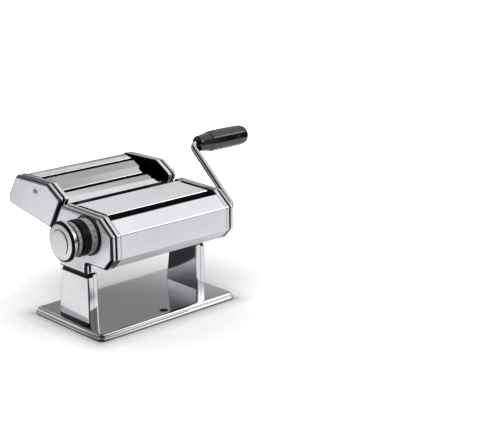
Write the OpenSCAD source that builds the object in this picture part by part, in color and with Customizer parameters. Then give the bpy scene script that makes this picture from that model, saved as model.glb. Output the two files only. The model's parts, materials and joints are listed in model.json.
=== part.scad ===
// Hand-cranked pasta machine with a lift-off double cutter.
// X runs along the rollers towards the crank, Y to the rear, Z up.
// The origin is the centre of the underside of the base.

/* [Sheet rollers] */
// Working length of the two sheet rollers
roller_len = 150; // [140:1:170]
// Diameter of the sheet rollers
roller_d = 23; // [22:0.1:23.2]
// Gap between the rollers at the thickest setting
gap_max = 2.4; // [2:0.1:2.6]
// Gap between the rollers at the thinnest setting
gap_min = 0.2; // [0.1:0.05:0.4]
// Y of the crank-driven front roller
drive_y = -59.3; // [-59.5:0.1:-58.5]
// Z of the crank-driven front roller
drive_z = 114; // [113.5:0.1:114.5]
// Angle of the line from the front roller to the adjuster above level
mesh_angle = 4.7; // [0:0.1:6]
// Radius of the front roller's journals
journal_r = 6; // [5.5:0.1:6.5]
// Teeth on each roller gear
gear_teeth = 12; // [12:12:12]
// Width of the roller gears
gear_w = 4.8; // [4:0.1:5]

/* [Body outline] */
// Y of the top rear corner of the body
top_rear_y = 16.3; // [15:0.1:17]
// Z of the top rear corner
top_rear_z = 139.5; // [138.5:0.1:141]
// Y of the top front corner
top_front_y = -53; // [-54:0.1:-52]
// Z of the top front corner
top_front_z = 138.1; // [137.5:0.1:139]
// Y of the upright front of the body
front_y = -74.2; // [-76:0.1:-74]
// Z where the front starts to slope back
bevel_z = 121.2; // [120.5:0.1:123]
// Z where the front starts to tuck under
tuck_z = 94; // [92:0.1:95]
// Y of the lower front corner
belly_y = -60.8; // [-62:0.1:-60]
// Z of the body's underside
belly_z = 80.2; // [79:0.1:81]
// Y of the front of the neck
neck_front_y = -25; // [-27:0.1:-23]
// Y of the rear of the neck
neck_rear_y = 24.5; // [23:0.1:26]
// Z of the bottom of the neck
neck_z = 64.5; // [62:0.1:66]
// Z of the lowest point of the sloping back
back_z = 113.2; // [112:0.1:114]
// Corner radius of the body outline
corner_r = 4; // [3:0.1:5]
// Lean of the back and of the cutter from upright, in degrees
back_lean = 30; // [29.5:0.1:30.5]

/* [Side frames, caps and legs] */
// Gap from the roller end to the side frame's rim
rim_gap = 3; // [2.8:0.1:4]
// Depth of the side frame's rim
tray_w = 5; // [4.8:0.1:6]
// Thickness of the side frame's plate
web_t = 1.5; // [1.2:0.1:2]
// Thickness of the pressed sheet
sheet_t = 1; // [0.8:0.1:1.1]
// Depth of the end caps
cap_depth = 8.5; // [8:0.1:10]
// Rounding of the end caps' outer edge
cap_edge = 2.5; // [2:0.1:3]
// Step from the end cap back to the leg
leg_step = 3.5; // [3:0.1:4]
// Width of a leg along X
leg_w = 14; // [13.5:0.1:15]
// Rearward flare of the leg at the base
leg_flare = 8.5; // [6:0.1:10]
// Seam between the two shells of a leg
leg_seam = 0.4; // [0.3:0.05:0.8]

/* [Base] */
// Length of the base along X
base_l = 204; // [200:1:215]
// Width of the base along Y
base_w = 129; // [125:1:140]
// Height of the base
base_h = 8; // [7:0.1:10]
// Corner radius of the base
base_r = 8; // [6:0.1:12]
// Radius of the table clamp's socket
clamp_r = 5.1; // [4.6:0.1:5.5]

/* [Knob] */
// Radius of the dial's flange
dial_r = 22.5; // [22:0.1:24]
// Height of the dial above the cap
dial_h = 10; // [9:0.1:11]
// Radius of the knob's grip
grip_r = 20.8; // [20:0.1:21.5]
// Height of the knob's grip
grip_h = 18.1; // [18:0.1:20]
// Radius of the knob's bright head
head_r = 22.3; // [21.5:0.1:24]
// Height of the knob's bright head
head_h = 11; // [11:0.1:13]
// Pull that frees the knob
knob_pull = 4; // [3:0.1:4]

/* [Crank] */
// Radius of the crank rod
rod_r = 4; // [3.8:0.1:4.2]
// Distance from the crank's axis to the handle's axis
crank_throw = 96; // [90:1:110]
// Angle of the crank arm above level, to the rear
crank_angle = 41.5; // [30:0.5:60]
// Bend radius of the rod
bend_r = 8; // [8:0.1:9]
// Length of the handle
handle_l = 78; // [70:1:90]
// Largest radius of the handle
handle_r = 13; // [12:0.1:14]

/* [Cutter] */
// Radius of the cutting discs
disc_r = 10; // [9.9:0.05:10.05]
// Depth to which the discs of a pair overlap
disc_bite = 2.6; // [2:0.1:2.7]
// Side clearance between two discs
disc_clear = 0.2; // [0.15:0.01:0.3]
// Width of the wide ribbons
wide_cut = 6.3; // [6:0.1:6.6]
// Width of the narrow ribbons
narrow_cut = 1.8; // [1.6:0.1:2.2]
// Step from the body's end cap in to the cutter's cap
cutter_step = 3.8; // [3.5:0.1:5]
// Depth of the cutter's end caps
cutter_cap_depth = 8.4; // [8:0.1:10]
// Gap between the body's back and the cutter
dock_gap = 6.6; // [6.4:0.1:7]
// Radius of the half-round relief over the gears
relief_r = 19.5; // [16:0.5:21]

/* [Hidden] */
$fn = 48;
corner_steps = 5;
run_fit = 0.05;
slip_fit = 0.03;
chrome = [0.82, 0.83, 0.85];
steel = [0.68, 0.69, 0.71];
black = [0.07, 0.07, 0.08];
grey = [0.6, 0.61, 0.62];

// Planes across X
half = roller_len / 2;
rim_x = half + rim_gap;
web_out = rim_x + tray_w;
web_in = web_out - web_t;
cap_x = web_out + cap_depth;
leg_out = cap_x - leg_step;
leg_in = leg_out - leg_w;

// Roller geometry
roller_r = roller_d / 2;
throw = (gap_max - gap_min) / 2;
centre_mean = roller_d + (gap_max + gap_min) / 2;
mesh_dir = [cos(mesh_angle), sin(mesh_angle)];
adj_y = drive_y + centre_mean * mesh_dir[0];
adj_z = drive_z + centre_mean * mesh_dir[1];
idle_y = adj_y + throw * mesh_dir[0];
idle_z = adj_z + throw * mesh_dir[1];
gear_tip = (centre_mean + throw) / 2 + 0.4;
gear_root = centre_mean - throw - gear_tip - 0.2;
// Half the turn by which the eccentric's rise shifts the mesh
gear_lag = asin(throw / centre_mean);
shaft_r = 4;
eccentric_r = 5;
sleeve_r = 8;

// Body outline, anticlockwise seen from the crank side
lean_dir = [sin(back_lean), -cos(back_lean)];
lean_out = [cos(back_lean), sin(back_lean)];
back_y = top_rear_y + (top_rear_z - back_z) * tan(back_lean);
body_points = [
    [neck_rear_y, neck_z], [neck_rear_y + 1.5, back_z - 22], [back_y, back_z],
    [top_rear_y, top_rear_z], [top_front_y, top_front_z], [front_y, bevel_z],
    [front_y, tuck_z], [belly_y, belly_z], [neck_front_y, belly_z], [neck_front_y, neck_z],
];
body_radii = [1, 8, 5, corner_r, corner_r, corner_r, corner_r, corner_r, 6, 1];

// Cutter outline, standing off the body's back by the docking gap
cut_low_y = top_rear_y + dock_gap / cos(back_lean) + (top_rear_z - 105) * tan(back_lean);
cut_nose_z = 143.1;
cut_nose_y = cut_low_y - (cut_nose_z - 105) * tan(back_lean);
cut_points = [
    [cut_low_y, 105], [cut_low_y + 82.7, 119.2], [cut_low_y + 84.3, 128.7],
    [cut_low_y + 65.8, 156.5], [cut_low_y + 2.3, 157.6], [cut_nose_y, cut_nose_z],
];
cut_radii = [4, 5, 6, 5, 6, 5];
cut_edge = 1.8;
cut_face = cap_x - cutter_step;
cut_web_out = cut_face - cutter_cap_depth;
cut_rim = cut_web_out - tray_w;
cut_web_in = cut_web_out - web_t;

// Cutter rollers
disc_centres = 2 * disc_r - disc_bite;
core_r = disc_r - disc_bite - disc_clear;
wide_nip = [cut_low_y + 8.7, 129];
narrow_nip = [cut_low_y + 46.7, 136];
cut_half = cut_web_in - 7.6;
cut_gear_w = 4.6;
cut_gear_tip = disc_centres / 2 + 1.2;
cut_gear_root = disc_centres / 2 - 1.5;
cut_journal_r = 6;
bush_wall = 1.2;
// Comb bars and fingers, measured towards the pair's nip and up from a roller's axis
comb_bar = [[-2.5, -15.5], [4.6, -15.5], [4.6, -12], [-2.5, -12]];
comb_finger = [[-0.5, -8.4], [5.6, -6.4], [4.6, -12.5], [-0.5, -12.5]];
finger_clear = 0.15;
function axis_of(nip, k) = [nip[0] + k * disc_centres / 2, nip[1]];
cut_axes = [axis_of(wide_nip, -1), axis_of(wide_nip, 1), axis_of(narrow_nip, -1), axis_of(narrow_nip, 1)];
drive_axes = [cut_axes[0], cut_axes[2]];
cut_ties = [[cut_low_y + 30, 121], [cut_low_y + 74, 128]];
cut_screw = [cut_low_y + 26.5, cut_nose_z];
cut_screw_r = 2;

// Cutter plates: the front plate's nose and top, and both edges of each slot
plate_nose = [cut_nose_y + (cut_nose_z - 135) * tan(back_lean), 135];
lip_deep = 4;
lip_lean = 0.5;
wide_slot = [[cut_low_y + 3.2, cut_nose_z - 0.1], [cut_low_y + 9.8, cut_nose_z + 0.9]];
narrow_slot = [[cut_low_y + 42.4, cut_points[3][1] - 4.5], [cut_low_y + 48, cut_points[3][1] - 3.3]];
plate_crease = [wide_slot[1][0] + 14.8, wide_slot[1][1] + 4.2];

// Crank
rod_x = cap_x + 3 + bend_r;
grip_y = drive_y + crank_throw * cos(crank_angle);
grip_z = drive_z + crank_throw * sin(crank_angle);
handle_x = rod_x + bend_r + 0.6;
socket_end = cap_x - 0.7;
socket_floor = socket_end - 10;
pin_r = 3;

// Knob stations, measured outwards from the left end cap
grip_s = dial_h + 0.4;
head_s = grip_s + grip_h;
spring_s = head_s - 4;
nut_s = spring_s + 7;
hex_r = 3.9;
spring_wire = 0.5;
spring_mean = 5.4;
spring_len = nut_s - spring_s - 0.1;
index_offset = 15;
index_r = 1.45;

// Base and legs
plate_t = 1.2;
clamp_y = 14 - base_w / 2;
screw_r = 2.5;
foot_y = 15;
foot_inset = 18;
leg_front = neck_front_y + 0.5;
leg_bend = 2.5;
seam_x = leg_in + 0.47 * leg_w;
strap_front = leg_front + 2;
strap_rear = neck_rear_y - 3;
screw_x = (web_in + leg_in + sheet_t) / 2;
screw_places = [for (x = [-screw_x, screw_x]) for (y = [-foot_y, foot_y]) [x, y]];

// Covers, tie rods and docking rails
lip_y = -55.8;
lip_bend = 1.4;
cover_bend = 2;
plate_front = -46;
plate_rear = top_rear_y - 5.4;
tie_r = 3;
tie_places = [[2, 126], [-22, 92], [-62, 92]];
nut_r = 5.6;
flange_t = 1.2;
rail_x = 52;
rail_w = 18;
rail_deep = dock_gap - 1;
rail_from = 8;
rail_to = 27;

// ---- Plane geometry ----
function unit(v) = v / norm(v);
function left_of(v) = [-v[1], v[0]];
function cross_z(a, b) = a[0] * b[1] - a[1] * b[0];
function at(list, i) = list[(i + len(list)) % len(list)];

// Closed outline moved inwards by d, with mitred corners
function inset(p, d) = [
    for (i = [0:len(p) - 1])
        let (
            n1 = left_of(unit(p[i] - at(p, i - 1))),
            n2 = left_of(unit(at(p, i + 1) - p[i]))
        ) p[i] + d * (n1 + n2) / (1 + n1 * n2)
];

// Points of the arc of radius r that rounds the corner b
function arc_at(a, b, c, r) =
    let (
        u = unit(a - b),
        v = unit(c - b),
        open = acos(max(-1, min(1, u * v))),
        centre = b + unit(u + v) * r / sin(open / 2),
        t1 = b + u * r / tan(open / 2) - centre,
        t2 = b + v * r / tan(open / 2) - centre,
        a1 = atan2(t1[1], t1[0]),
        turn = (atan2(t2[1], t2[0]) - a1 + 540) % 360 - 180
    ) [
        for (k = [0:corner_steps])
            centre + r * [cos(a1 + turn * k / corner_steps), sin(a1 + turn * k / corner_steps)]
    ];

// Closed outline inset by d, with corner radii that shrink or grow with it
function outline(p, radii, d = 0) =
    let (q = inset(p, d)) [
        for (i = [0:len(p) - 1])
            let (
                a = at(q, i - 1),
                b = q[i],
                c = at(q, i + 1),
                r = cross_z(b - a, c - b) > 0 ? max(radii[i] - d, 0.4) : radii[i] + d
            )
                each arc_at(a, b, c, r)
    ];

// Open path with its inner corners rounded
function soft_path(p, r) = concat(
    [p[0]],
    [for (i = [1:len(p) - 2]) each arc_at(p[i - 1], p[i], p[i + 1], r)],
    [p[len(p) - 1]]
);

// Open path moved sideways by d
function beside(p, d) = [
    for (i = [0:len(p) - 1])
        let (
            n1 = left_of(unit(p[max(i, 1)] - p[max(i, 1) - 1])),
            n2 = left_of(unit(p[min(i + 1, len(p) - 1)] - p[min(i + 1, len(p) - 1) - 1]))
        ) p[i] + d * (n1 + n2) / (1 + n1 * n2)
];

// Strip of sheet metal that follows an open path
function strip(p, t, r = 2) =
    let (q = soft_path(p, r)) concat(q, [for (i = [len(q) - 1:-1:0]) beside(q, t)[i]]);

// Straight-sided gear profile with one tooth at the angle phase
function gear_profile(n, root, tip, root_w, tip_w, phase) = [
    for (i = [0:n - 1])
        for (k = [[root, -root_w], [tip, -tip_w], [tip, tip_w], [root, root_w]])
            let (a = phase + i * 360 / n + asin(k[1] / 2 / k[0])) k[0] * [cos(a), sin(a)]
];

// ---- Solids ----
// Extrudes a YZ profile from x0 to x1
module along_x(x0, x1) {
    translate([x0, 0, 0]) rotate([90, 0, 90]) linear_extrude(x1 - x0) children();
}

module round_bar(x0, x1, r, y, z) {
    translate([x0, y, z]) rotate([0, 90, 0]) cylinder(h = x1 - x0, r = r);
}

// Revolves an [r, distance] profile about an axis along +X or -X
module turned(x, y, z, side = 1) {
    translate([x, y, z]) rotate([0, side * 90, 0]) rotate_extrude() children();
}

// Skin through closed loops that all have the same number of points
module loft(loops) {
    m = len(loops[0]);
    last = len(loops) - 1;
    polyhedron(
        points = [for (loop = loops) each loop],
        faces = concat(
            [[for (j = [0:m - 1]) j]],
            [[for (j = [m - 1:-1:0]) last * m + j]],
            [
                for (i = [0:last - 1])
                    for (j = [0:m - 1])
                        [i * m + j, (i + 1) * m + j, (i + 1) * m + (j + 1) % m, i * m + (j + 1) % m]
            ]
        )
    );
}

// Closed skin round a loop of sections, the last joined to the first
module loft_ring(loops) {
    m = len(loops[0]);
    n = len(loops);
    polyhedron(
        points = [for (loop = loops) each loop],
        faces = [
            for (i = [0:n - 1])
                for (j = [0:m - 1])
                    [i * m + j, ((i + 1) % n) * m + j, ((i + 1) % n) * m + (j + 1) % m, i * m + (j + 1) % m]
        ]
    );
}

// Pressed cup open towards -X: rim at x0, face at x1, rounded outer edge; children are cut from its face
module pressed_cup(p, radii, x0, x1, t, edge) {
    outer = concat([[0, x0]], [for (k = [0:3]) [edge * (1 - cos(30 * k)), x1 - edge * (1 - sin(30 * k))]]);
    inner = [for (i = [3:-1:1]) [t + max(outer[i][0] - t / 2, 0), min(outer[i][1], x1 - t) - t / 2]];
    loft_ring([
        for (s = concat([[edge, x1 - t]], inner, [[t, x0]], outer))
            [for (q = outline(p, radii, s[0])) [s[1], q[0], q[1]]]
    ]);
    difference() {
        along_x(x1 - t, x1) polygon(outline(p, radii, edge));
        children();
    }
}

// Pressed tray with its plate outwards and its rim towards the rollers
module side_tray(p, radii, x0, x1, plate_t, rim_t) {
    difference() {
        along_x(x0, x1) polygon(outline(p, radii));
        along_x(x0 - 1, x1 - plate_t) polygon(outline(p, radii, rim_t));
    }
}

// ---- Base ----
// Pressed rim of the base in section: [distance in from the edge, height]
function base_rim() = [
    [0, 0], [0, 3], [0.9, 3.7], [1.8, 3.9], [1.8, base_h - 2.2], [2.3, base_h - 0.9],
    [3.3, base_h - 0.2], [4.6, base_h], [base_r, base_h], [base_r, base_h - plate_t],
    [4.8, base_h - plate_t], [3.7, base_h - 1.5], [3, base_h - 2.6], [3, 3.2], [1.8, 2.5],
    [1.4, 2.1], [1.4, 0],
];

module base_plate() color(chrome) {
    difference() {
        union() {
            for (side = [-1, 1]) {
                for (end = [-1, 1])
                    translate([side * (base_l / 2 - base_r), end * (base_w / 2 - base_r), 0])
                        rotate([0, 0, side > 0 ? (end > 0 ? 0 : 270) : (end > 0 ? 90 : 180)])
                            rotate_extrude(angle = 90)
                                polygon([for (q = base_rim()) [base_r - q[0], q[1]]]);
                translate([side * base_l / 2, 0, 0])
                    rotate([90, 0, 0])
                        linear_extrude(base_w - 2 * base_r, center = true)
                            polygon([for (q = base_rim()) [-side * q[0], q[1]]]);
                translate([0, side * base_w / 2, 0])
                    rotate([90, 0, 90])
                        linear_extrude(base_l - 2 * base_r, center = true)
                            polygon([for (q = base_rim()) [-side * q[0], q[1]]]);
            }
            translate([base_r - base_l / 2, base_r - base_w / 2, base_h - plate_t])
                cube([base_l - 2 * base_r, base_w - 2 * base_r, plate_t]);
            translate([0, clamp_y, 0]) cylinder(h = base_h, r = clamp_r + 2.4);
        }
        translate([0, clamp_y, -1]) cylinder(h = base_h + 2, r = clamp_r);
        for (s = screw_places) translate([s[0], s[1], 0]) cylinder(h = base_h + 1, r = screw_r + 0.1);
    }
}

module rubber_feet() color(black)
    for (x = [-1, 1]) for (y = [-1, 1])
        translate([x * (base_l / 2 - foot_inset), y * (base_w / 2 - foot_inset), 0])
            cylinder(h = base_h - plate_t, r = 9);

module base_screws() color(steel)
    for (s = screw_places)
        translate([s[0], s[1], 0]) {
            translate([0, 0, base_h - 3.7]) cylinder(h = 2.5, r = 4.5);
            translate([0, 0, base_h - 1.3]) cylinder(h = 5, r = screw_r);
        }

// ---- Side frames ----
// Rear edge of a leg at height z
function leg_rear(z) = neck_rear_y - 0.5 + leg_flare * pow((neck_z - z) / (neck_z - base_h), 1.5);

module side_frame(side) color(chrome) mirror([side > 0 ? 0 : 1, 0, 0])
    difference() {
        union() {
            side_tray(body_points, body_radii, rim_x, web_out, web_t, sheet_t);
            along_x(web_in, web_out)
                polygon([
                    [strap_front, base_h], [strap_rear, base_h],
                    [strap_rear, neck_z + 4], [strap_front, neck_z + 4],
                ]);
            translate([leg_in + sheet_t + 0.3, strap_front, base_h])
                cube([web_out - leg_in - sheet_t - 0.3, strap_rear - strap_front, web_t]);
        }
        round_bar(web_in - 1, web_out + 1, journal_r + 2 + slip_fit, drive_y, drive_z);
        round_bar(web_in - 1, web_out + 1, shaft_r + 2 + slip_fit, adj_y, adj_z);
        for (t = tie_places) round_bar(web_in - 1, web_out + 1, tie_r + slip_fit, t[0], t[1]);
        for (y = [-foot_y, foot_y])
            translate([screw_x, y, 0]) cylinder(h = 30, r = screw_r + slip_fit);
    }

module side_frame_left() side_frame(-1);
module side_frame_right() side_frame(1);

// ---- Legs ----
// Side view of a leg's rear half, inset by d, with the flare of its rear edge
function leg_side(front, d) = concat(
    [[front, neck_z + 2 * d], [front, base_h - 2 * d]],
    [
        for (k = [0:8])
            let (z = base_h + (neck_z - base_h) * k / 8)
                [leg_rear(z) - d, z + (k == 0 ? -2 * d : k == 8 ? 2 * d : 0)]
    ]
);

// Half of a leg: a channel with its plate at x_face and a rounded front edge, open at x_open
module leg_shell(x_face, x_open) color(chrome) {
    s = x_face > x_open ? 1 : -1;
    mirror([s > 0 ? 0 : 1, 0, 0]) {
        translate([0, 0, base_h])
            linear_extrude(neck_z - base_h)
                polygon(strip([
                    [s * x_open, leg_front], [s * x_face, leg_front], [s * x_face, 0],
                ], sheet_t, leg_bend));
        difference() {
            along_x(s * x_open, s * x_face) polygon(leg_side(0, 0));
            along_x(s * x_open - 1, s * x_face - sheet_t) polygon(leg_side(-1, sheet_t));
        }
    }
}

module leg_outer_left() mirror([1, 0, 0]) leg_shell(leg_out, seam_x + leg_seam / 2);
module leg_outer_right() leg_shell(leg_out, seam_x + leg_seam / 2);
module leg_inner_left() mirror([1, 0, 0]) leg_shell(leg_in, seam_x - leg_seam / 2);
module leg_inner_right() leg_shell(leg_in, seam_x - leg_seam / 2);

// ---- End caps ----
module end_cap_left() color(chrome)
    mirror([1, 0, 0])
        pressed_cup(body_points, body_radii, web_out, cap_x, sheet_t, cap_edge)
            round_bar(cap_x - 4, cap_x + 1, shaft_r + 2.5, adj_y, adj_z);

module end_cap_right() color(chrome)
    pressed_cup(body_points, body_radii, web_out, cap_x, sheet_t, cap_edge)
        round_bar(cap_x - 4, cap_x + 1, journal_r + 1.2, drive_y, drive_z);

// ---- Covers ----
module front_cover() color(chrome)
    along_x(-rim_x, rim_x)
        polygon(strip([
            [lip_y + 1.8, drive_z + 13], [lip_y, top_front_z - 2.6],
            body_points[5], body_points[6],
            [belly_y - 1.5, belly_z + 1.6],
        ], sheet_t, corner_r - 0.5));

module top_plate() color(chrome)
    difference() {
        along_x(-rim_x, rim_x)
            polygon(strip([
                [plate_rear, top_rear_z - 9], [plate_rear, top_rear_z - 1.1],
                [plate_front, top_front_z - 0.3], [plate_front - 1.2, drive_z + 10],
            ], sheet_t, 1.6));
        for (side = [-1, 1])
            translate([side * (rim_x - 1.5), plate_front / 2, drive_z + 20])
                cube([5, 8 - plate_front, 30], center = true);
    }

module rear_cover() color(chrome)
    along_x(-rim_x, rim_x)
        polygon(strip([
            [neck_rear_y - 2, back_z - 26], [back_y, back_z],
            [top_rear_y, top_rear_z] + lean_dir * 6,
        ], sheet_t, 4));

// ---- Tie rods ----
module tie_rods() color(steel)
    for (t = tie_places) round_bar(-web_out - 4.2, web_out + 4.2, tie_r, t[0], t[1]);

module tie_nuts() color(steel)
    for (t = tie_places) for (side = [-1, 1])
        translate([side * (web_out + 1.8), t[0], t[1]])
            rotate([0, 90, 0])
                difference() {
                    cylinder(h = 3.4, r = nut_r, center = true, $fn = 6);
                    cylinder(h = 5, r = tie_r + slip_fit, center = true);
                }

// ---- Bushes ----
module flanged_bush(side, y, z, bore, wall) {
    turned(side * (web_in - flange_t), y, z, side)
        polygon([
            [bore, 0], [bore + wall + 1.5, 0], [bore + wall + 1.5, flange_t], [bore + wall, flange_t],
            [bore + wall, 4], [bore, 4],
        ]);
}

module roller_bushes() color([0.72, 0.55, 0.3])
    for (side = [-1, 1]) flanged_bush(side, drive_y, drive_z, journal_r + run_fit, 2 - run_fit);

module adjuster_bushes() color([0.72, 0.55, 0.3])
    for (side = [-1, 1]) flanged_bush(side, adj_y, adj_z, shaft_r + run_fit, 2 - run_fit);

// ---- Scrapers ----
// Blade from a ring on a tie rod to the underside of a roller
module scraper(tie, axis, angle) {
    tip = axis + (roller_r + 0.45) * [cos(angle), sin(angle)];
    dir = unit(tip - tie);
    side = left_of(dir);
    root = tie + dir * (tie_r + 0.6);
    difference() {
        union() {
            along_x(2 - half, half - 2)
                polygon([root - side * 0.7, tip - side * 0.7, tip + side * 0.5, root + side * 0.7]);
            round_bar(2 - half, half - 2, tie_r + 1.3, tie[0], tie[1]);
        }
        round_bar(-half, half, tie_r + run_fit, tie[0], tie[1]);
    }
}

module front_scraper() color(steel) scraper(tie_places[2], [drive_y, drive_z], -74);
module rear_scraper() color(steel) scraper(tie_places[1], [idle_y, idle_z], -72);

// ---- Cutter docking ----
// Section in the plane square to the back: x across, y away from the body
module on_back(from, to) {
    translate([0, top_rear_y, top_rear_z])
        rotate([back_lean, 0, 0])
            translate([0, 0, -to])
                linear_extrude(to - from) children();
}

module dock_rails() color(steel)
    for (side = [-1, 1])
        difference() {
            on_back(rail_from, rail_to + 2)
                translate([side * rail_x - rail_w / 2, 0]) square([rail_w, rail_deep]);
            on_back(rail_from - 1, rail_to)
                translate([side * rail_x - rail_w / 2 + 1.5, 1.2]) square([rail_w - 3, rail_deep - 2.4]);
            on_back(rail_from - 1, rail_to)
                translate([side * rail_x - 4, 1.2]) square([8, rail_deep]);
        }

module dock_tongues() color(steel)
    for (side = [-1, 1]) {
        on_back(rail_from, rail_to - 0.3)
            translate([side * rail_x - rail_w / 2 + 1.9, 1.5]) square([rail_w - 3.8, rail_deep - 3.1]);
        on_back(rail_from, rail_to - 0.3)
            translate([side * rail_x - 3.5, 1.5]) square([7, dock_gap - 1.5]);
    }

// ---- Sheet rollers ----
module front_roller() color(steel)
    difference() {
        union() {
            round_bar(-half, half, roller_r, drive_y, drive_z);
            round_bar(-web_out - 1.5, socket_end, journal_r, drive_y, drive_z);
        }
        round_bar(socket_floor, socket_end + 1, rod_r + run_fit, drive_y, drive_z);
        translate([socket_floor - 4, drive_y - rod_r + 0.3, drive_z - 1.6]) cube([5, 2 * rod_r - 0.6, 3.2]);
    }

module roller_gear(y, z, bore, phase) {
    along_x(half, half + gear_w)
        translate([y, z])
            difference() {
                polygon(gear_profile(gear_teeth, gear_root, gear_tip, 3, 1.1, phase));
                circle(bore);
            }
}

module front_gear() color(steel) roller_gear(drive_y, drive_z, journal_r + slip_fit, mesh_angle);
module rear_gear() color(steel)
    roller_gear(idle_y, idle_z, sleeve_r + slip_fit, mesh_angle + 180 + 180 / gear_teeth + gear_lag);

module rear_roller() color(steel)
    difference() {
        round_bar(-half, half, roller_r, idle_y, idle_z);
        round_bar(-half - 1, half + 1, sleeve_r, idle_y, idle_z);
    }

module floating_bushes() color([0.72, 0.55, 0.3])
    for (x = [[-half - 0.8, 9 - half], [half - 9, half + gear_w + 0.2]])
        difference() {
            round_bar(x[0], x[1], sleeve_r - run_fit, idle_y, idle_z);
            round_bar(x[0] - 1, x[1] + 1, eccentric_r + run_fit, idle_y, idle_z);
        }

// ---- Adjuster ----
module adjuster_shaft() color(steel) {
    eccentric_end = web_in - flange_t - 0.12;
    round_bar(-eccentric_end, eccentric_end, eccentric_r, idle_y, idle_z);
    round_bar(eccentric_end - 0.1, web_out + 3, shaft_r, adj_y, adj_z);
    round_bar(-cap_x - 8, 1 - eccentric_end, shaft_r, adj_y, adj_z);
    translate([-cap_x - nut_s, adj_y, adj_z])
        rotate([0, 90, 0]) cylinder(h = nut_s - 7.5, r = hex_r, $fn = 6);
    round_bar(-cap_x - nut_s - 4, -cap_x - nut_s + 0.5, 3, adj_y, adj_z);
}

module shaft_nut() color(steel)
    translate([-cap_x - nut_s - 3.6, adj_y, adj_z])
        rotate([0, 90, 0])
            difference() {
                union() {
                    cylinder(h = 3, r = 5.8, $fn = 6);
                    translate([0, 0, 2.6]) cylinder(h = 1, r = 7.2);
                }
                translate([0, 0, -1]) cylinder(h = 6, r = 3 + slip_fit);
            }

// Section of the spring's wire at the angle a, a fraction u of the way along the coil
function spring_ring(a, u) =
    let (x = spring_s + 0.1 + spring_wire + u * (spring_len - 2 * spring_wire - 0.1))
        [
            for (k = [0:5])
                let (r = spring_mean + spring_wire * cos(60 * k))
                    [-cap_x - x - spring_wire * sin(60 * k), adj_y + r * cos(a), adj_z + r * sin(a)]
        ];

module knob_spring() color(steel) {
    turns = 3.5;
    per_turn = 14;
    count = turns * per_turn;
    loft([for (i = [0:count]) spring_ring(i * 360 / per_turn, i / count)]);
}

// ---- Dial and knob ----
module dial_ring() color(black)
    turned(-cap_x, adj_y, adj_z, -1)
        polygon([
            [shaft_r + 5, 0], [dial_r, 0], [dial_r, 2.4], [dial_r - 0.6, 3], [dial_r - 2.2, 3],
            [dial_r - 2.2, dial_h], [17.2, dial_h], [17.2, dial_h - 3], [13, dial_h - 3],
            [13, dial_h], [shaft_r + 5, dial_h],
        ]);

module knob_grip() color(black)
    difference() {
        turned(-cap_x, adj_y, adj_z, -1)
            polygon([
                [0, grip_s], [grip_r - 0.6, grip_s], [grip_r, grip_s + 0.6],
                [grip_r, grip_s + 2.6], [grip_r - 0.9, grip_s + 3], [grip_r - 0.9, grip_s + 3.8],
                [grip_r, grip_s + 4.2], [grip_r, grip_s + 6.2], [grip_r - 0.9, grip_s + 6.6],
                [grip_r - 0.9, grip_s + 7.4], [grip_r, grip_s + 7.8], [grip_r, grip_s + 9],
                [18.5, grip_s + 9.6], [18.5, grip_s + 12], [17.5, grip_s + 12],
                [17.5, head_s], [12.5, head_s], [12.5, spring_s], [0, spring_s],
            ]);
        translate([-cap_x - spring_s - 1, adj_y, adj_z])
            rotate([0, 90, 0]) cylinder(h = grip_h + 2, r = hex_r + 0.12, $fn = 6);
        round_bar(-cap_x - grip_s - 4, -cap_x - grip_s + 1, index_r + run_fit, adj_y, adj_z + index_offset);
    }

module knob_ring() color(grey)
    turned(-cap_x, adj_y, adj_z, -1)
        polygon([
            [17.5 + slip_fit, grip_s + 12.1], [19.2, grip_s + 12.1], [19.5, grip_s + 12.6],
            [19.5, grip_s + 15.1], [19.2, grip_s + 15.6], [17.5 + slip_fit, grip_s + 15.6],
        ]);

module knob_head() color(chrome)
    turned(-cap_x, adj_y, adj_z, -1)
        polygon([
            [12.5, head_s], [head_r - 2.6, head_s], [head_r - 2.2, head_s + 1.6],
            [head_r - 0.5, head_s + 2.8], [head_r, head_s + 4], [head_r, head_s + 6],
            [head_r - 0.5, head_s + 7], [head_r - 1.6, head_s + 7.8], [15.2, head_s + 9.3],
            [14.7, head_s + 9.9], [10, head_s + 10.5], [5, head_s + 10.9], [0, head_h + head_s],
            [0, head_s + 8.6], [12.5, head_s + 8],
        ]);

module index_pin() color(steel)
    round_bar(-cap_x - grip_s - 3.9, -cap_x - dial_h + 1.6, index_r, adj_y, adj_z + index_offset);

// ---- Crank ----
// The rod lies in one plane: out of the socket, along the arm, then along the handle
module crank_rod() color(chrome) {
    translate([socket_floor - 3.6, drive_y - rod_r + 0.5, drive_z - 1.5])
        cube([4.2, 2 * rod_r - 1, 3]);
    translate([0, drive_y, drive_z])
        rotate([crank_angle, 0, 0]) {
            round_bar(socket_floor + 0.2, rod_x - bend_r, rod_r, 0, 0);
            translate([rod_x - bend_r, bend_r, 0])
                rotate([0, 0, -90]) rotate_extrude(angle = 90) translate([bend_r, 0]) circle(rod_r);
            translate([rod_x, bend_r, 0])
                rotate([-90, 0, 0]) cylinder(h = crank_throw - 2 * bend_r, r = rod_r);
            translate([rod_x + bend_r, crank_throw - bend_r, 0])
                rotate([0, 0, 90]) rotate_extrude(angle = 90) translate([bend_r, 0]) circle(rod_r);
            round_bar(rod_x + bend_r, handle_x - 0.1, rod_r, crank_throw, 0);
            round_bar(handle_x - 0.2, handle_x + handle_l - 6.5, pin_r, crank_throw, 0);
        }
}

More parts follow.
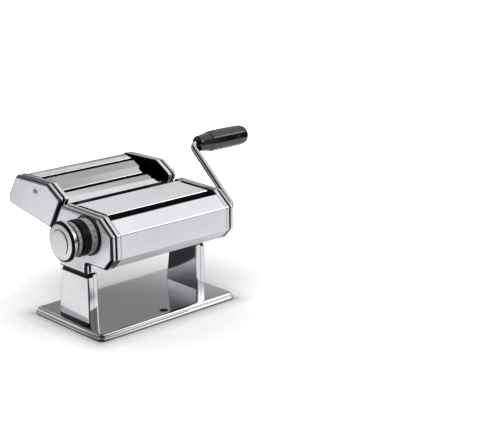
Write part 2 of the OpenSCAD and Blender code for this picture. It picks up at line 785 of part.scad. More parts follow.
// Handle: a faceted neck that widens into a grip with shallow flats
module crank_handle() color(black)
    difference() {
        turned(handle_x, grip_y, grip_z)
            polygon([
                [0, 0], [8.6, 0], [9.4, 0.8], [11.4, 16.5], [12.2, 18.4], [handle_r - 0.2, 26],
                [handle_r, 44], [handle_r - 0.6, handle_l - 8], [handle_r - 1.6, handle_l - 3.4],
                [handle_r - 3.4, handle_l - 0.8], [handle_r - 5, handle_l], [0, handle_l],
            ]);
        round_bar(handle_x - 1, handle_x + handle_l + 1, pin_r + run_fit, grip_y, grip_z);
        round_bar(handle_x + handle_l - 9, handle_x + handle_l + 1, 6.2, grip_y, grip_z);
        for (k = [0:9])
            translate([handle_x, grip_y, grip_z])
                rotate([36 * k, 0, 0])
                    translate([20, 0, handle_r + 9.1])
                        rotate([0, 90, 0]) cylinder(h = handle_l - 24, r = 10);
    }

module handle_washer() color(steel)
    difference() {
        round_bar(handle_x + handle_l - 8.7, handle_x + handle_l - 7.2, 5.6, grip_y, grip_z);
        round_bar(handle_x + handle_l - 10, handle_x + handle_l - 6, pin_r + slip_fit, grip_y, grip_z);
    }

// ---- Cutter frames and caps ----
module cutter_frame(side) color(chrome) mirror([side > 0 ? 0 : 1, 0, 0])
    difference() {
        side_tray(cut_points, cut_radii, cut_rim, cut_web_out, web_t, sheet_t);
        for (a = cut_axes)
            round_bar(cut_web_in - 1, cut_web_out + 1, cut_journal_r + bush_wall + slip_fit, a[0], a[1]);
        for (t = cut_ties) round_bar(cut_web_in - 1, cut_web_out + 1, tie_r + slip_fit, t[0], t[1]);
        round_bar(cut_web_in - 1, cut_web_out + 1, cut_screw_r + slip_fit, cut_screw[0], cut_screw[1]);
    }

module cutter_frame_left() cutter_frame(-1);
module cutter_frame_right() cutter_frame(1);

module cutter_cap_left() color(chrome)
    mirror([1, 0, 0])
        pressed_cup(cut_points, cut_radii, cut_web_out, cut_face, sheet_t, cut_edge)
            round_bar(cut_face - 3, cut_face + 1, cut_screw_r + slip_fit, cut_screw[0], cut_screw[1]);

module cutter_cap_right() color(chrome)
    pressed_cup(cut_points, cut_radii, cut_web_out, cut_face, sheet_t, cut_edge) {
        round_bar(cut_face - 3, cut_face + 1, cut_screw_r + slip_fit, cut_screw[0], cut_screw[1]);
        for (a = drive_axes) round_bar(cut_face - 3, cut_face + 1, cut_journal_r + 1, a[0], a[1]);
    }

module cutter_screws() color(steel)
    for (side = [-1, 1])
        difference() {
            turned(side * (cut_web_in - 1), cut_screw[0], cut_screw[1], side)
                polygon([
                    [0, 0], [cut_screw_r, 0], [cut_screw_r, cut_face - cut_web_in + 1],
                    [3.8, cut_face - cut_web_in + 1],
                    [3.8, cut_face - cut_web_in + 1.8], [2.9, cut_face - cut_web_in + 2.6],
                    [0, cut_face - cut_web_in + 2.9],
                ]);
            for (turn = [0, 90])
                translate([side * (cut_face + 1.6), cut_screw[0], cut_screw[1]])
                    rotate([45 + turn, 0, 0]) cube([2, 0.9, 4], center = true);
        }

// ---- Cutter plates ----
// Upright cutter through the plates, over the gears of the wide pair
module relief() {
    translate([cut_rim + 2, wide_nip[0], wide_nip[1]]) cylinder(h = 60, r = relief_r);
}

module cutter_front_plate() color(chrome)
    difference() {
        along_x(-cut_rim, cut_rim)
            polygon(strip([
                wide_slot[0] + [lip_lean, -lip_deep], wide_slot[0], plate_nose,
                plate_nose + lean_dir * 30,
            ], sheet_t, lip_bend));
        relief();
    }

module cutter_middle_plate() color(chrome)
    difference() {
        along_x(-cut_web_in, cut_web_in)
            polygon(strip([
                narrow_slot[0] + [lip_lean, -lip_deep], narrow_slot[0], plate_crease,
                wide_slot[1], wide_slot[1] - [lip_lean, lip_deep],
            ], sheet_t, lip_bend));
        relief();
    }

module cutter_rear_cover() color(chrome)
    along_x(-cut_rim, cut_rim)
        polygon(strip([
            cut_points[1] + [-2.1, 3.4], cut_points[2] - [1.7, 0.3],
            cut_points[3] - [1.2, 0.9], narrow_slot[1], narrow_slot[1] - [lip_lean, lip_deep],
        ], sheet_t, cover_bend));

module cutter_tie_rods() color(steel)
    for (t = cut_ties) round_bar(-cut_web_out - 3, cut_web_out + 3, tie_r, t[0], t[1]);

module cutter_bushes() color([0.72, 0.55, 0.3])
    for (side = [-1, 1]) for (a = cut_axes)
        turned(side * cut_web_in, a[0], a[1], side)
            polygon([
                [cut_journal_r + run_fit, -0.8], [cut_journal_r + 2, -0.8], [cut_journal_r + 2, 0],
                [cut_journal_r + bush_wall, 0], [cut_journal_r + bush_wall, 2.4],
                [cut_journal_r + run_fit, 2.4],
            ]);

// ---- Cutter rollers ----
// Discs of width w on a core, with the first disc offset by start
module cutting_roller(a, w, start, driven) {
    pitch = 2 * (w + disc_clear);
    first = start - pitch * floor((start + cut_half) / pitch);
    difference() {
        union() {
            round_bar(-cut_half, cut_half, core_r, a[0], a[1]);
            for (x = [first:pitch:cut_half - w]) round_bar(x, x + w, disc_r, a[0], a[1]);
            journal_end = driven ? cut_face - 0.5 : cut_web_out + 1.4;
            round_bar(-cut_web_out - 1.4, journal_end, cut_journal_r, a[0], a[1]);
        }
        if (driven) {
            round_bar(cut_face - 10.5, cut_face + 1, rod_r + run_fit, a[0], a[1]);
            translate([cut_face - 14.5, a[0] - rod_r + 0.3, a[1] - 1.6]) cube([5, 2 * rod_r - 0.6, 3.2]);
        }
    }
}

module wide_roller_drive() color(steel) cutting_roller(cut_axes[0], wide_cut, 0, true);
module wide_roller_idle() color(steel)
    cutting_roller(cut_axes[1], wide_cut, wide_cut + disc_clear, false);
module narrow_roller_drive() color(steel) cutting_roller(cut_axes[2], narrow_cut, 0, true);
module narrow_roller_idle() color(steel)
    cutting_roller(cut_axes[3], narrow_cut, narrow_cut + disc_clear, false);

module cutter_gear(a, phase) {
    along_x(cut_half, cut_half + cut_gear_w)
        translate(a)
            difference() {
                polygon(gear_profile(gear_teeth, cut_gear_root, cut_gear_tip, 2.3, 0.9, phase));
                circle(cut_journal_r + slip_fit);
            }
}

module wide_gear_drive() color(steel) cutter_gear(cut_axes[0], 0);
module wide_gear_idle() color(steel) cutter_gear(cut_axes[1], 180 / gear_teeth);
module narrow_gear_drive() color(steel) cutter_gear(cut_axes[2], 0);
module narrow_gear_idle() color(steel) cutter_gear(cut_axes[3], 180 / gear_teeth);

// ---- Combs ----
// Bar under a roller with a finger in each groove; k is the side of the roller's partner
module comb(a, k, w, start) {
    pitch = 2 * (w + disc_clear);
    groove = start + w + finger_clear;
    first = groove - pitch * floor((groove + cut_half) / pitch);
    along_x(-cut_web_in, cut_web_in)
        polygon([for (q = comb_bar) a + [k * q[0], q[1]]]);
    for (x = [first:pitch:cut_half - w])
        along_x(x, x + w + 2 * (disc_clear - finger_clear))
            polygon([for (q = comb_finger) a + [k * q[0], q[1]]]);
}

module wide_combs() color(steel) {
    comb(cut_axes[0], 1, wide_cut, 0);
    comb(cut_axes[1], -1, wide_cut, wide_cut + disc_clear);
}

module narrow_combs() color(steel) {
    comb(cut_axes[2], 1, narrow_cut, 0);
    comb(cut_axes[3], -1, narrow_cut, narrow_cut + disc_clear);
}

base_plate();
rubber_feet();
side_frame_left();
side_frame_right();
leg_outer_left();
leg_outer_right();
leg_inner_left();
leg_inner_right();
end_cap_left();
end_cap_right();
front_cover();
top_plate();
rear_cover();
tie_rods();
tie_nuts();
base_screws();
roller_bushes();
adjuster_bushes();
front_scraper();
rear_scraper();
dock_rails();
dial_ring();
front_roller();
front_gear();
rear_roller();
rear_gear();
floating_bushes();
adjuster_shaft();
shaft_nut();
knob_spring();
knob_grip();
knob_ring();
knob_head();
index_pin();
crank_rod();
crank_handle();
handle_washer();
cutter_frame_left();
cutter_frame_right();
cutter_cap_left();
cutter_cap_right();
cutter_front_plate();
cutter_middle_plate();
cutter_rear_cover();
cutter_tie_rods();
cutter_screws();
cutter_bushes();
dock_tongues();
wide_combs();
narrow_combs();
wide_roller_drive();
wide_roller_idle();
narrow_roller_drive();
narrow_roller_idle();
wide_gear_drive();
wide_gear_idle();
narrow_gear_drive();
narrow_gear_idle();
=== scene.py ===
import json
import math
import bmesh
import bpy
import numpy as np
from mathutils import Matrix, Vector
from mathutils.geometry import tessellate_polygon


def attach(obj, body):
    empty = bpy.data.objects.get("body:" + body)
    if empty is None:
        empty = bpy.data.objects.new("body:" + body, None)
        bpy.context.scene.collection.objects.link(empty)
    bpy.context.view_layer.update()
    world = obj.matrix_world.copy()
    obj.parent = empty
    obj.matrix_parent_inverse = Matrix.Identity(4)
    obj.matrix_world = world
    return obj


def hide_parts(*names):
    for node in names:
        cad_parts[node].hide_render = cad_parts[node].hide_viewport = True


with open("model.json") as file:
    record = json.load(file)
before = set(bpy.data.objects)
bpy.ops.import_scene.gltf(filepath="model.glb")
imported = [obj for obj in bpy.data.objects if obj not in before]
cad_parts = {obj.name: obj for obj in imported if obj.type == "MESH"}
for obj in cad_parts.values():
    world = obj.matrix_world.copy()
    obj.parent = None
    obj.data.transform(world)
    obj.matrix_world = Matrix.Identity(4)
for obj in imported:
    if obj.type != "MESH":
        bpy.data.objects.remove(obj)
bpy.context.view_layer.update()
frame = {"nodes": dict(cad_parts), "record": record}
nodes = frame["nodes"]
mm = 0.001
perMetre = 1000  # millimetres in a metre


def linear(hexText):
    # sRGB hex to linear, each channel c: c / 12.92 up to 0.04045, and ((c + 0.055) / 1.055) ^ 2.4 above it
    c = np.array([int(hexText[i:i + 2], 16) for i in (1, 3, 5)]) / 255
    return (*np.where(c < 0.04045, c / 12.92, ((c + 0.055) / 1.055) ** 2.4).tolist(), 1)


def addNode(tree, kind, settings=None, links=None, stops=()):
    # kind is a new node's kind, or a node that is already there; settings name sockets or the node's own
    # fields; a link from a node uses its first live output; stops of a ramp are (position, hex or grey level)
    node = tree.nodes.new("ShaderNode" + kind) if isinstance(kind, str) else kind
    for key, value in (settings or {}).items():
        if isinstance(key, int) or key in node.inputs:
            node.inputs[key].default_value = value
        else:
            setattr(node, key, value)
    for key, source in (links or {}).items():
        if isinstance(source, bpy.types.Node):
            source = next(socket for socket in source.outputs if socket.enabled)
        tree.links.new(source, node.inputs[key])
    if stops:
        cells = node.color_ramp.elements
        while len(cells) < len(stops):
            cells.new(0.5)
        for cell, (place, level) in zip(cells, stops):
            cell.position = place
            cell.color = linear(level) if isinstance(level, str) else (level, level, level, 1)
    return node


def newMaterial(name):
    material = bpy.data.materials.new(name)
    material.use_nodes = True
    tree = material.node_tree
    coords = addNode(tree, "TexCoord").outputs["Object"]
    return material, tree, tree.nodes["Principled BSDF"], coords


# Polished chromed steel sheet: a mirror with faint rolling waves and a film of handling haze (sizes in mm)
chromeLook = {"colour": "#d6d7d9", "hazedColour": "#cccdd1", "hazeSize": 60,
              "metallic": 1.0, "roughLow": 0.06, "roughHigh": 0.12,
              "waveSize": 30, "waveStrength": 0.015, "waveHeight": 1}


def polishedChrome(name="polishedChromedSteel", look=chromeLook):
    material, tree, shader, coords = newMaterial(name)
    haze = addNode(tree, "TexNoise", {"Scale": perMetre / look["hazeSize"], "Detail": 5.0, "Roughness": 0.6},
                   {"Vector": coords})
    rough = addNode(tree, "MapRange", {1: 0.35, 2: 0.7, 3: look["roughLow"], 4: look["roughHigh"]}, {0: haze})
    tone = addNode(tree, "ValToRGB", None, {0: haze}, [(0.35, look["colour"]), (0.72, look["hazedColour"])])
    waves = addNode(tree, "TexNoise", {"Scale": perMetre / look["waveSize"], "Detail": 1.0},
                    {"Vector": coords})
    bump = addNode(tree, "Bump", {"Strength": look["waveStrength"], "Distance": look["waveHeight"] * mm},
                   {"Height": waves})
    addNode(tree, shader, {"Metallic": look["metallic"]},
            {"Base Color": tone, "Roughness": rough, "Normal": bump})
    return material


# Plated turned steel: satin, with a few stains and the rings that the tool leaves round the X axis (mm);
# a wave texture draws about twenty rings for each unit of its scale
steelLook = {"colour": "#a9abae", "stainedColour": "#85888c", "stainsPerMetre": 60, "rough": 0.28,
             "ringPitch": 0.4, "ringsPerUnit": 20, "ringStrength": 0.12, "ringHeight": 0.2}


def turnedSteel(name="turnedPlatedSteel", look=steelLook):
    material, tree, shader, coords = newMaterial(name)
    scale = perMetre / look["ringPitch"] / look["ringsPerUnit"]
    rings = addNode(tree, "TexWave", {"wave_type": "BANDS", "bands_direction": "X", "Scale": scale,
                                      "Distortion": 1.5, "Detail": 2.0}, {"Vector": coords})
    stains = addNode(tree, "TexNoise", {"Scale": look["stainsPerMetre"], "Detail": 6.0}, {"Vector": coords})
    tone = addNode(tree, "ValToRGB", None, {0: stains},
                   [(0.3, look["colour"]), (0.75, look["stainedColour"])])
    rough = addNode(tree, "MapRange", {3: look["rough"] - 0.06, 4: look["rough"] + 0.1}, {0: stains})
    bump = addNode(tree, "Bump", {"Strength": look["ringStrength"], "Distance": look["ringHeight"] * mm},
                   {"Height": rings})
    addNode(tree, shader, {"Metallic": 1.0}, {"Base Color": tone, "Roughness": rough, "Normal": bump})
    return material


# Sintered bronze: dull gold with dark pores, each about half a cell of the noise (mm)
bronzeLook = {"colour": "#a07b42", "poreColour": "#5f4626", "rough": 0.42,
              "poreSize": 0.5, "poreStrength": 0.3, "poreDepth": 0.2}


def sinteredBronze(name="sinteredBronze", look=bronzeLook):
    material, tree, shader, coords = newMaterial(name)
    pores = addNode(tree, "TexNoise", {"Scale": perMetre / look["poreSize"] / 2, "Detail": 3.0},
                    {"Vector": coords})
    tone = addNode(tree, "ValToRGB", None, {0: pores}, [(0.42, look["poreColour"]), (0.55, look["colour"])])
    bump = addNode(tree, "Bump", {"Strength": look["poreStrength"], "Distance": look["poreDepth"] * mm},
                   {"Height": pores})
    addNode(tree, shader, {"Metallic": 1.0, "Roughness": look["rough"]}, {"Base Color": tone, "Normal": bump})
    return material


# Moulded ABS: an even colour under a fine spark-eroded grain (mm), with greasier patches where it is held
plasticLook = {"colour": "#070708", "handledColour": "#0e0e10", "patchesPerMetre": 55, "rough": 0.24,
               "ior": 1.36, "grainSize": 0.35, "grainStrength": 0.18, "grainDepth": 0.1}


def mouldedPlastic(name="mouldedBlackAbs", look=plasticLook):
    material, tree, shader, coords = newMaterial(name)
    grain = addNode(tree, "TexNoise", {"Scale": perMetre / look["grainSize"] / 2, "Detail": 2.0},
                    {"Vector": coords})
    patches = addNode(tree, "TexNoise", {"Scale": look["patchesPerMetre"], "Detail": 4.0}, {"Vector": coords})
    tone = addNode(tree, "ValToRGB", None, {0: patches},
                   [(0.35, look["colour"]), (0.75, look["handledColour"])])
    rough = addNode(tree, "MapRange", {1: 0.3, 2: 0.7, 3: look["rough"] - 0.07, 4: look["rough"] + 0.07},
                    {0: patches})
    bump = addNode(tree, "Bump", {"Strength": look["grainStrength"], "Distance": look["grainDepth"] * mm},
                   {"Height": grain})
    addNode(tree, shader, {"IOR": look["ior"]}, {"Base Color": tone, "Roughness": rough, "Normal": bump})
    return material


chrome = polishedChrome()
# thicker plating on turned, cast and drawn metal, a touch softer
satinChrome = polishedChrome("satinChromedZinc", {**chromeLook, "colour": "#dadbdd",
                                                  "roughLow": 0.1, "roughHigh": 0.2})
# flat faces brushed before plating: they hold a broad soft light and no clear reflection
brushedChrome = polishedChrome("brushedChromedSteel", {**chromeLook, "colour": "#e6e7ea",
                                                       "hazedColour": "#dedfe3", "metallic": 0.5,
                                                       "roughLow": 0.4, "roughHigh": 0.46})
# painted shade: a darker, greyer copy of the chrome for the drawn edge of the cutter's caps
shadedEdgeChrome = polishedChrome("shadedEdgeChromedSteel", {**chromeLook, "colour": "#85878b", "hazedColour": "#75777b"})
steel = turnedSteel()
# steel left unpolished in the gear train, dark under oil; the same dark steel is painted shade on sheet metal
# inside the slots and on the steps, lips and bends that lie in shade
oiledSteelAndPaintedShade = turnedSteel("oiledSteelAndPaintedShade", {**steelLook, "colour": "#323336", "stainedColour": "#1d1e20",
                                        "rough": 0.42})
bronze = sinteredBronze()
oiledBronze = sinteredBronze("oiledBronze", {**bronzeLook, "colour": "#4d3d25", "poreColour": "#2b2216"})
blackAbs = mouldedPlastic()
greyAbs = mouldedPlastic("mouldedGreyAbs", {**plasticLook, "colour": "#8f9193", "handledColour": "#808285",
                                            "rough": 0.4})
# the grip is glossier, so that each of its flats mirrors another part of the room
gripAbs = mouldedPlastic("mouldedGripAbs", {**plasticLook, "colour": "#040506", "handledColour": "#08090b",
                                            "rough": 0.12, "ior": 1.7})
# vulcanised rubber: matt and coarser, so it takes no highlight
rubber = mouldedPlastic("mouldedRubber", {**plasticLook, "colour": "#121212", "handledColour": "#1c1c1c",
                                          "rough": 0.75, "grainSize": 0.6})
slotMaterials = {"sheet": chrome, "steel": steel, "bush": bronze, "black_plastic": blackAbs,
                 "grey_plastic": greyAbs, "rubber": rubber}
# solids with another finish than their slot's, by how their names end
finishes = {"cutter_screws": satinChrome, "dock_rails": oiledSteelAndPaintedShade, "dock_tongues": oiledSteelAndPaintedShade,
            "gear_drive": oiledSteelAndPaintedShade, "gear_idle": oiledSteelAndPaintedShade, "_gear": oiledSteelAndPaintedShade, "_combs": oiledSteelAndPaintedShade,
            "_bushes": oiledBronze}
for part in frame["record"]["subparts"]:
    name = part["node"]
    chosen = [finish for ending, finish in finishes.items() if name.endswith(ending)]
    solid = nodes[name].data
    solid.materials.clear()
    solid.materials.append((chosen + [slotMaterials[part["material_slot"]]])[0])
print("materials done")


def cornerArcs(points, radii, inset=0.0, steps=8):
    # closed outline moved inwards by inset, then each corner becomes an arc:
    # corner + inset * (n1 + n2) / (1 + n1.n2), and centre = corner + bisector * r / sin(half the corner)
    p, r = np.array(points, float), np.array(radii, float)
    n1, n2 = [np.stack([-v[:, 1], v[:, 0]], 1) / np.linalg.norm(v, axis=1)[:, None]
              for v in (p - np.roll(p, 1, 0), np.roll(p, -1, 0) - p)]
    q = p + inset * (n1 + n2) / np.maximum(1 + (n1 * n2).sum(1), 1e-6)[:, None]
    convex = n1[:, 0] * n2[:, 1] - n1[:, 1] * n2[:, 0] > 0
    r = np.where(convex, np.maximum(r - inset, 0.15), r + inset)
    u, v = [w / np.linalg.norm(w, axis=1)[:, None] for w in (np.roll(q, 1, 0) - q, np.roll(q, -1, 0) - q)]
    half = np.arccos(np.clip((u * v).sum(1), -1, 1)) / 2
    bisector = (u + v) / np.maximum(np.linalg.norm(u + v, axis=1), 1e-9)[:, None]
    centre = q + bisector * (r / np.sin(half))[:, None]
    t1, t2 = [q + w * (r / np.tan(half))[:, None] - centre for w in (u, v)]
    start = np.arctan2(t1[:, 1], t1[:, 0])
    turn = (np.arctan2(t2[:, 1], t2[:, 0]) - start + 3 * np.pi) % (2 * np.pi) - np.pi
    a = start[:, None] + turn[:, None] * np.linspace(0, 1, steps + 1)
    return (centre[:, None] + r[:, None, None] * np.stack([np.cos(a), np.sin(a)], 2)).reshape(-1, 2)


def softPath(points, radius, steps=8, spacing=0.0):
    # open path with arcs at its inner corners, its straight runs cut into even steps if a spacing is given
    p = np.array(points, float)
    radii = np.broadcast_to(np.array(radius, float), len(p))
    arcs = cornerArcs(p, radii, 0, steps).reshape(len(p), steps + 1, 2)
    path = np.vstack([p[:1], arcs[1:-1].reshape(-1, 2), p[-1:]])
    if spacing:
        run = np.concatenate([[0], np.cumsum(np.linalg.norm(np.diff(path, axis=0), axis=1))])
        at = np.unique(np.round(np.concatenate([run, np.arange(0, run[-1], spacing)]), 4))
        path = np.stack([np.interp(at, run, path[:, k]) for k in (0, 1)], 1)
    return path


def besidePath(path, distance):
    # path moved sideways: point + distance * (n1 + n2) / (1 + n1.n2), n1 and n2 the left normals around it
    step = np.diff(path, axis=0)
    n = np.stack([-step[:, 1], step[:, 0]], 1) / np.linalg.norm(step, axis=1)[:, None]
    n1, n2 = np.vstack([n[:1], n]), np.vstack([n, n[-1:]])
    return path + distance * (n1 + n2) / (1 + (n1 * n2).sum(1))[:, None]


def addPiece(name, points, faces, material, body, replaced=(), slot=None, sharp=33, zones=()):
    # points in millimetres; faces are turned outwards, smooth where they meet at less than the sharp angle;
    # zones are other materials, each with a rule that picks its faces by centre (mm), normal and area (mm2)
    mesh = bpy.data.meshes.new(name)
    mesh.from_pydata((np.asarray(points, float) * mm).tolist(), [], faces)
    work = bmesh.new()
    work.from_mesh(mesh)
    bmesh.ops.recalc_face_normals(work, faces=work.faces)
    work.to_mesh(mesh)
    work.free()
    mesh.polygons.foreach_set("use_smooth", np.ones(len(mesh.polygons), bool))
    mesh.set_sharp_from_angle(angle=math.radians(sharp))
    piece = bpy.data.objects.new(name, mesh)
    bpy.context.scene.collection.objects.link(piece)
    mesh.materials.append(material)
    centres, normals = np.zeros((2, len(mesh.polygons) * 3))
    areas = np.zeros(len(mesh.polygons))
    mesh.polygons.foreach_get("center", centres)
    mesh.polygons.foreach_get("normal", normals)
    mesh.polygons.foreach_get("area", areas)
    chosen = np.zeros(len(areas), np.int32)
    for i, (other, rule) in enumerate(zones):
        mesh.materials.append(other)
        chosen[rule(centres.reshape(-1, 3) / mm, normals.reshape(-1, 3), areas / mm ** 2)] = i + 1
    mesh.polygons.foreach_set("material_index", chosen)
    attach(piece, body)
    if replaced:
        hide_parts(*replaced)
    return piece


def gridFaces(rows, size, wrapRows=False, ends=True):
    # quads between neighbouring closed rings, numbered row by row, and one polygon on each end ring
    i, j = np.meshgrid(np.arange(rows if wrapRows else rows - 1), np.arange(size), indexing="ij")
    i2, j2 = (i + 1) % rows, (j + 1) % size
    quads = np.stack([i * size + j, i2 * size + j, i2 * size + j2, i * size + j2], -1).reshape(-1, 4)
    closing = [list(range(size)), list(range((rows - 1) * size, rows * size))]
    return quads.tolist() + (closing if ends and not wrapRows else [])


def ringPiece(name, rings, *args, wrapRows=False, **kwargs):
    # a skin over a grid of closed rings (row, point, xyz)
    rows, size = rings.shape[:2]
    return addPiece(name, rings.reshape(-1, 3), gridFaces(rows, size, wrapRows), *args, **kwargs)


def turnedRings(profile, axis, side=-1, steps=96):
    # profile (radius, distance) spun round the X axis through (x, y, z):
    # y + r cos a, z + r sin a, x + side * distance
    p = np.array(profile, float)
    a = np.linspace(0, 2 * np.pi, steps, endpoint=False)
    ring = np.stack([np.zeros(steps), np.cos(a), np.sin(a)], 1)
    rings = p[:, 0, None, None] * ring[None] + np.array(axis, float)
    rings[:, :, 0] += side * p[:, 1, None]
    return rings


def bentSheet(name, path, radius, thick, left, right, *args, spacing=0.0, **kwargs):
    # sheet that follows a path in YZ; its left and right edges are numbers or functions of y
    outer = softPath(path, radius, spacing=spacing)
    inner = besidePath(outer, thick)
    low, high = [np.broadcast_to(e(outer[:, 0]) if callable(e) else e, len(outer)) for e in (left, right)]
    corners = ((low, outer), (high, outer), (high, inner), (low, inner))
    rings = np.stack([np.column_stack(corner) for corner in corners], 1)
    return ringPiece(name, rings, *args, **kwargs)


def shellPiece(name, points, radii, sections, place, holes, *args, steps=8, holeSteps=48, **kwargs):
    # outline carried through sections (inset, level); the first and last are flat plates,
    # joined by round holes (u, v, radius): u + r cos a, v + r sin a
    outlines = [cornerArcs(points, radii, inset, steps) for inset, level in sections]
    rows, size = len(outlines), len(outlines[0])
    flat = [np.column_stack([o, np.full(size, level)]) for o, (inset, level) in zip(outlines, sections)]
    faces = gridFaces(rows, size, ends=not holes)
    a = np.linspace(0, 2 * np.pi, holeSteps, endpoint=False)
    for level in (sections[0][1], sections[-1][1]):
        flat += [np.column_stack([u + r * np.cos(a), v + r * np.sin(a), np.full(holeSteps, level)])
                 for u, v, r in holes]
    # the rings' first points: the outlines, then the first plate's holes, then the last plate's
    first = np.concatenate([[0], np.cumsum([len(ring) for ring in flat])])
    for end, start in ((0, rows), (rows - 1, rows + len(holes))) if holes else ():
        chosen = [end, *range(start, start + len(holes))]
        numbers = np.concatenate([np.arange(first[k], first[k + 1]) for k in chosen])
        triangles = tessellate_polygon([[Vector(q) for q in flat[k]] for k in chosen])
        faces += numbers[np.array([list(t) for t in triangles])].tolist()
    j = np.arange(holeSteps)
    j2 = (j + 1) % holeSteps
    for k in range(rows, rows + len(holes)):
        low, high = first[k], first[k + len(holes)]
        faces += np.stack([low + j, high + j, high + j2, low + j2], 1).tolist()
    return addPiece(name, place(np.vstack(flat)), faces, *args, **kwargs)


# YZ outline of the body, the levels of its ends along X, and its holes by centre and radius (mm)
body = {"outline": [(24.5, 66.5), (26, 91.2), (31.484, 113.2), (16.3, 139.5), (-53, 138.1), (-74.2, 121.2),
                    (-74.2, 94), (-60.8, 80.2), (-25, 80.2), (-25, 66.5)],
        "corners": [1, 8, 5, 4, 4, 4, 4, 4, 6, 1],
        "rimX": 78, "frameX": 83, "capX": 91.5, "frameSheet": 1.0, "frameEdge": 0.7,
        "capSheet": 0.8, "capEdge": 4.6, "band": 2.6,
        "rodsAt": [(2, 126), (-22, 92), (-62, 92)], "rodBore": 3.03,
        "driveAt": (-59.3, 114), "driveBore": 8.03, "driveHole": 7.2,
        "knobAt": (-35.082, 115.991), "knobBore": 6.03, "knobHole": 6.5,
        "strap": [(75.3, 8), (82.8, 8), (82.8, 68), (81.6, 68), (81.6, 9.4), (75.3, 9.4)],
        "strapFront": -22.5, "strapRear": 21.5}


def cupSections(rim, face, wall, edge, band=0.0, bandDepth=1.3):
    # inner face, inner bend, rim, a stepped-in band, outer wall, outer bend, as (inset, level);
    # the bends are quarter circles: edge * (1 - cos t), face - edge * (1 - sin t)
    b = np.radians(np.linspace(0, 90, 9))
    step = bandDepth if band else 0.0
    deep, bend = wall + step, max(edge - wall, 0.6)
    inside = [(deep + bend * (1 - math.cos(t)), face - wall - bend * (1 - math.sin(t))) for t in b[::-1]]
    outside = [(edge * (1 - math.cos(t)), face - edge * (1 - math.sin(t))) for t in b]
    nested = [(0.4, rim), (0.1, rim + 0.1)]
    if band:
        nested = [(step, rim + 0.1), (step, rim + band - 0.2), (0.5, rim + band), (0.15, rim + band + 0.15)]
    lip = [(deep, rim + 0.2), (deep - 0.2, rim), (step + 0.1, rim)]
    return inside + lip + nested + [(0, rim + band + 0.5)] + outside


def facePlates(name, look, holes, sections, node, body, zones=()):
    # the same pressed cup at both ends, opened by that end's holes; rules see both ends as the right one
    for side, word in ((-1, "Left"), (1, "Right")):
        mirrored = [(material, lambda c, n, area, s=side, rule=rule: rule(c * [s, 1, 1], n * [s, 1, 1]))
                    for material, rule in zones]
        shellPiece(name + word, look["outline"], look["corners"], sections,
                   lambda p, s=side: np.column_stack([s * p[:, 2], p[:, 0], p[:, 1]]), holes[side],
                   chrome, body, [node + word.lower()], "sheet", zones=mirrored)


def frameSections(look):
    # a side frame is a plain cup
    return cupSections(look["rimX"], look["frameX"], look["frameSheet"], look["frameEdge"])


def capSections(look):
    # an end cap is a rounder cup over its frame, with a stepped-in band at the rim
    return cupSections(look["frameX"], look["capX"], look["capSheet"], look["capEdge"], look["band"])


def capZones(look):
    # a brushed face, and painted shade: the step where the cap grips its frame is painted dark; the cutter's
    # caps have an edge of darker chrome as painted shade, and the bends that look down, or backwards on the
    # cutter, are painted dark for shade
    top = look["frameX"] + look["band"] - 0.3
    onCutter = look is cutter
    return [(brushedChrome, lambda c, n: (n[:, 0] > 0.99) & (c[:, 0] > look["capX"] - 0.1)),
            (oiledSteelAndPaintedShade, lambda c, n: c[:, 0] < top),
            (shadedEdgeChrome, lambda c, n: onCutter & (c[:, 0] > top) & (abs(n[:, 0] - 0.4) < 0.55)
             & ((n[:, 1] > -0.3) | (n[:, 2] < 0.15))),
            (oiledSteelAndPaintedShade, lambda c, n: (abs(n[:, 0] - 0.55) < 0.37)
             & ((n[:, 1] > 0.25) & onCutter | (n[:, 2] < -0.25)))]


def buildEnds(look=body):
    bores = [(y, z, look["rodBore"]) for y, z in look["rodsAt"]]
    bores += [(*look["driveAt"], look["driveBore"]), (*look["knobAt"], look["knobBore"])]
    facePlates("sideFrame", look, {-1: bores, 1: bores}, frameSections(look), "side_frame_", "frame")
    holes = {-1: [(*look["knobAt"], look["knobHole"])], 1: [(*look["driveAt"], look["driveHole"])]}
    facePlates("endCap", look, holes, capSections(look), "end_cap_", "frame", capZones(look))
    # the strap that each side frame sends down into its leg, with a foot screwed to the base
    strap = np.array(look["strap"])
    for side, word in ((-1, "Left"), (1, "Right")):
        rings = [np.column_stack([side * strap[:, 0], np.full(len(strap), y), strap[:, 1]])
                 for y in (look["strapFront"], look["strapRear"])]
        ringPiece("legStrap" + word, np.array(rings), oiledSteelAndPaintedShade, "frame", slot="sheet")


# the same for the cutter, with the bores for its rollers, rods and cap screws
cutter = {"outline": [(43.84, 105), (126.54, 119.2), (128.14, 128.7), (109.64, 156.5), (46.14, 157.6),
                      (21.843, 143.1)],
          "corners": [4, 5, 6, 5, 6, 5],
          "rimX": 74.3, "frameX": 79.3, "capX": 87.7, "frameSheet": 1.0, "frameEdge": 0.7,
          "capSheet": 0.8, "capEdge": 4.4, "band": 2.7,
          "rollersAt": [(43.84, 129), (61.24, 129), (81.84, 136), (99.24, 136)], "rollerBore": 7.23,
          "rodsAt": [(73.84, 121), (117.84, 128)], "rodBore": 3.03,
          "screwAt": (70.34, 143), "screwBore": 2.03,
          "socketsAt": [(43.84, 129), (81.84, 136)], "socketHole": 7.0}


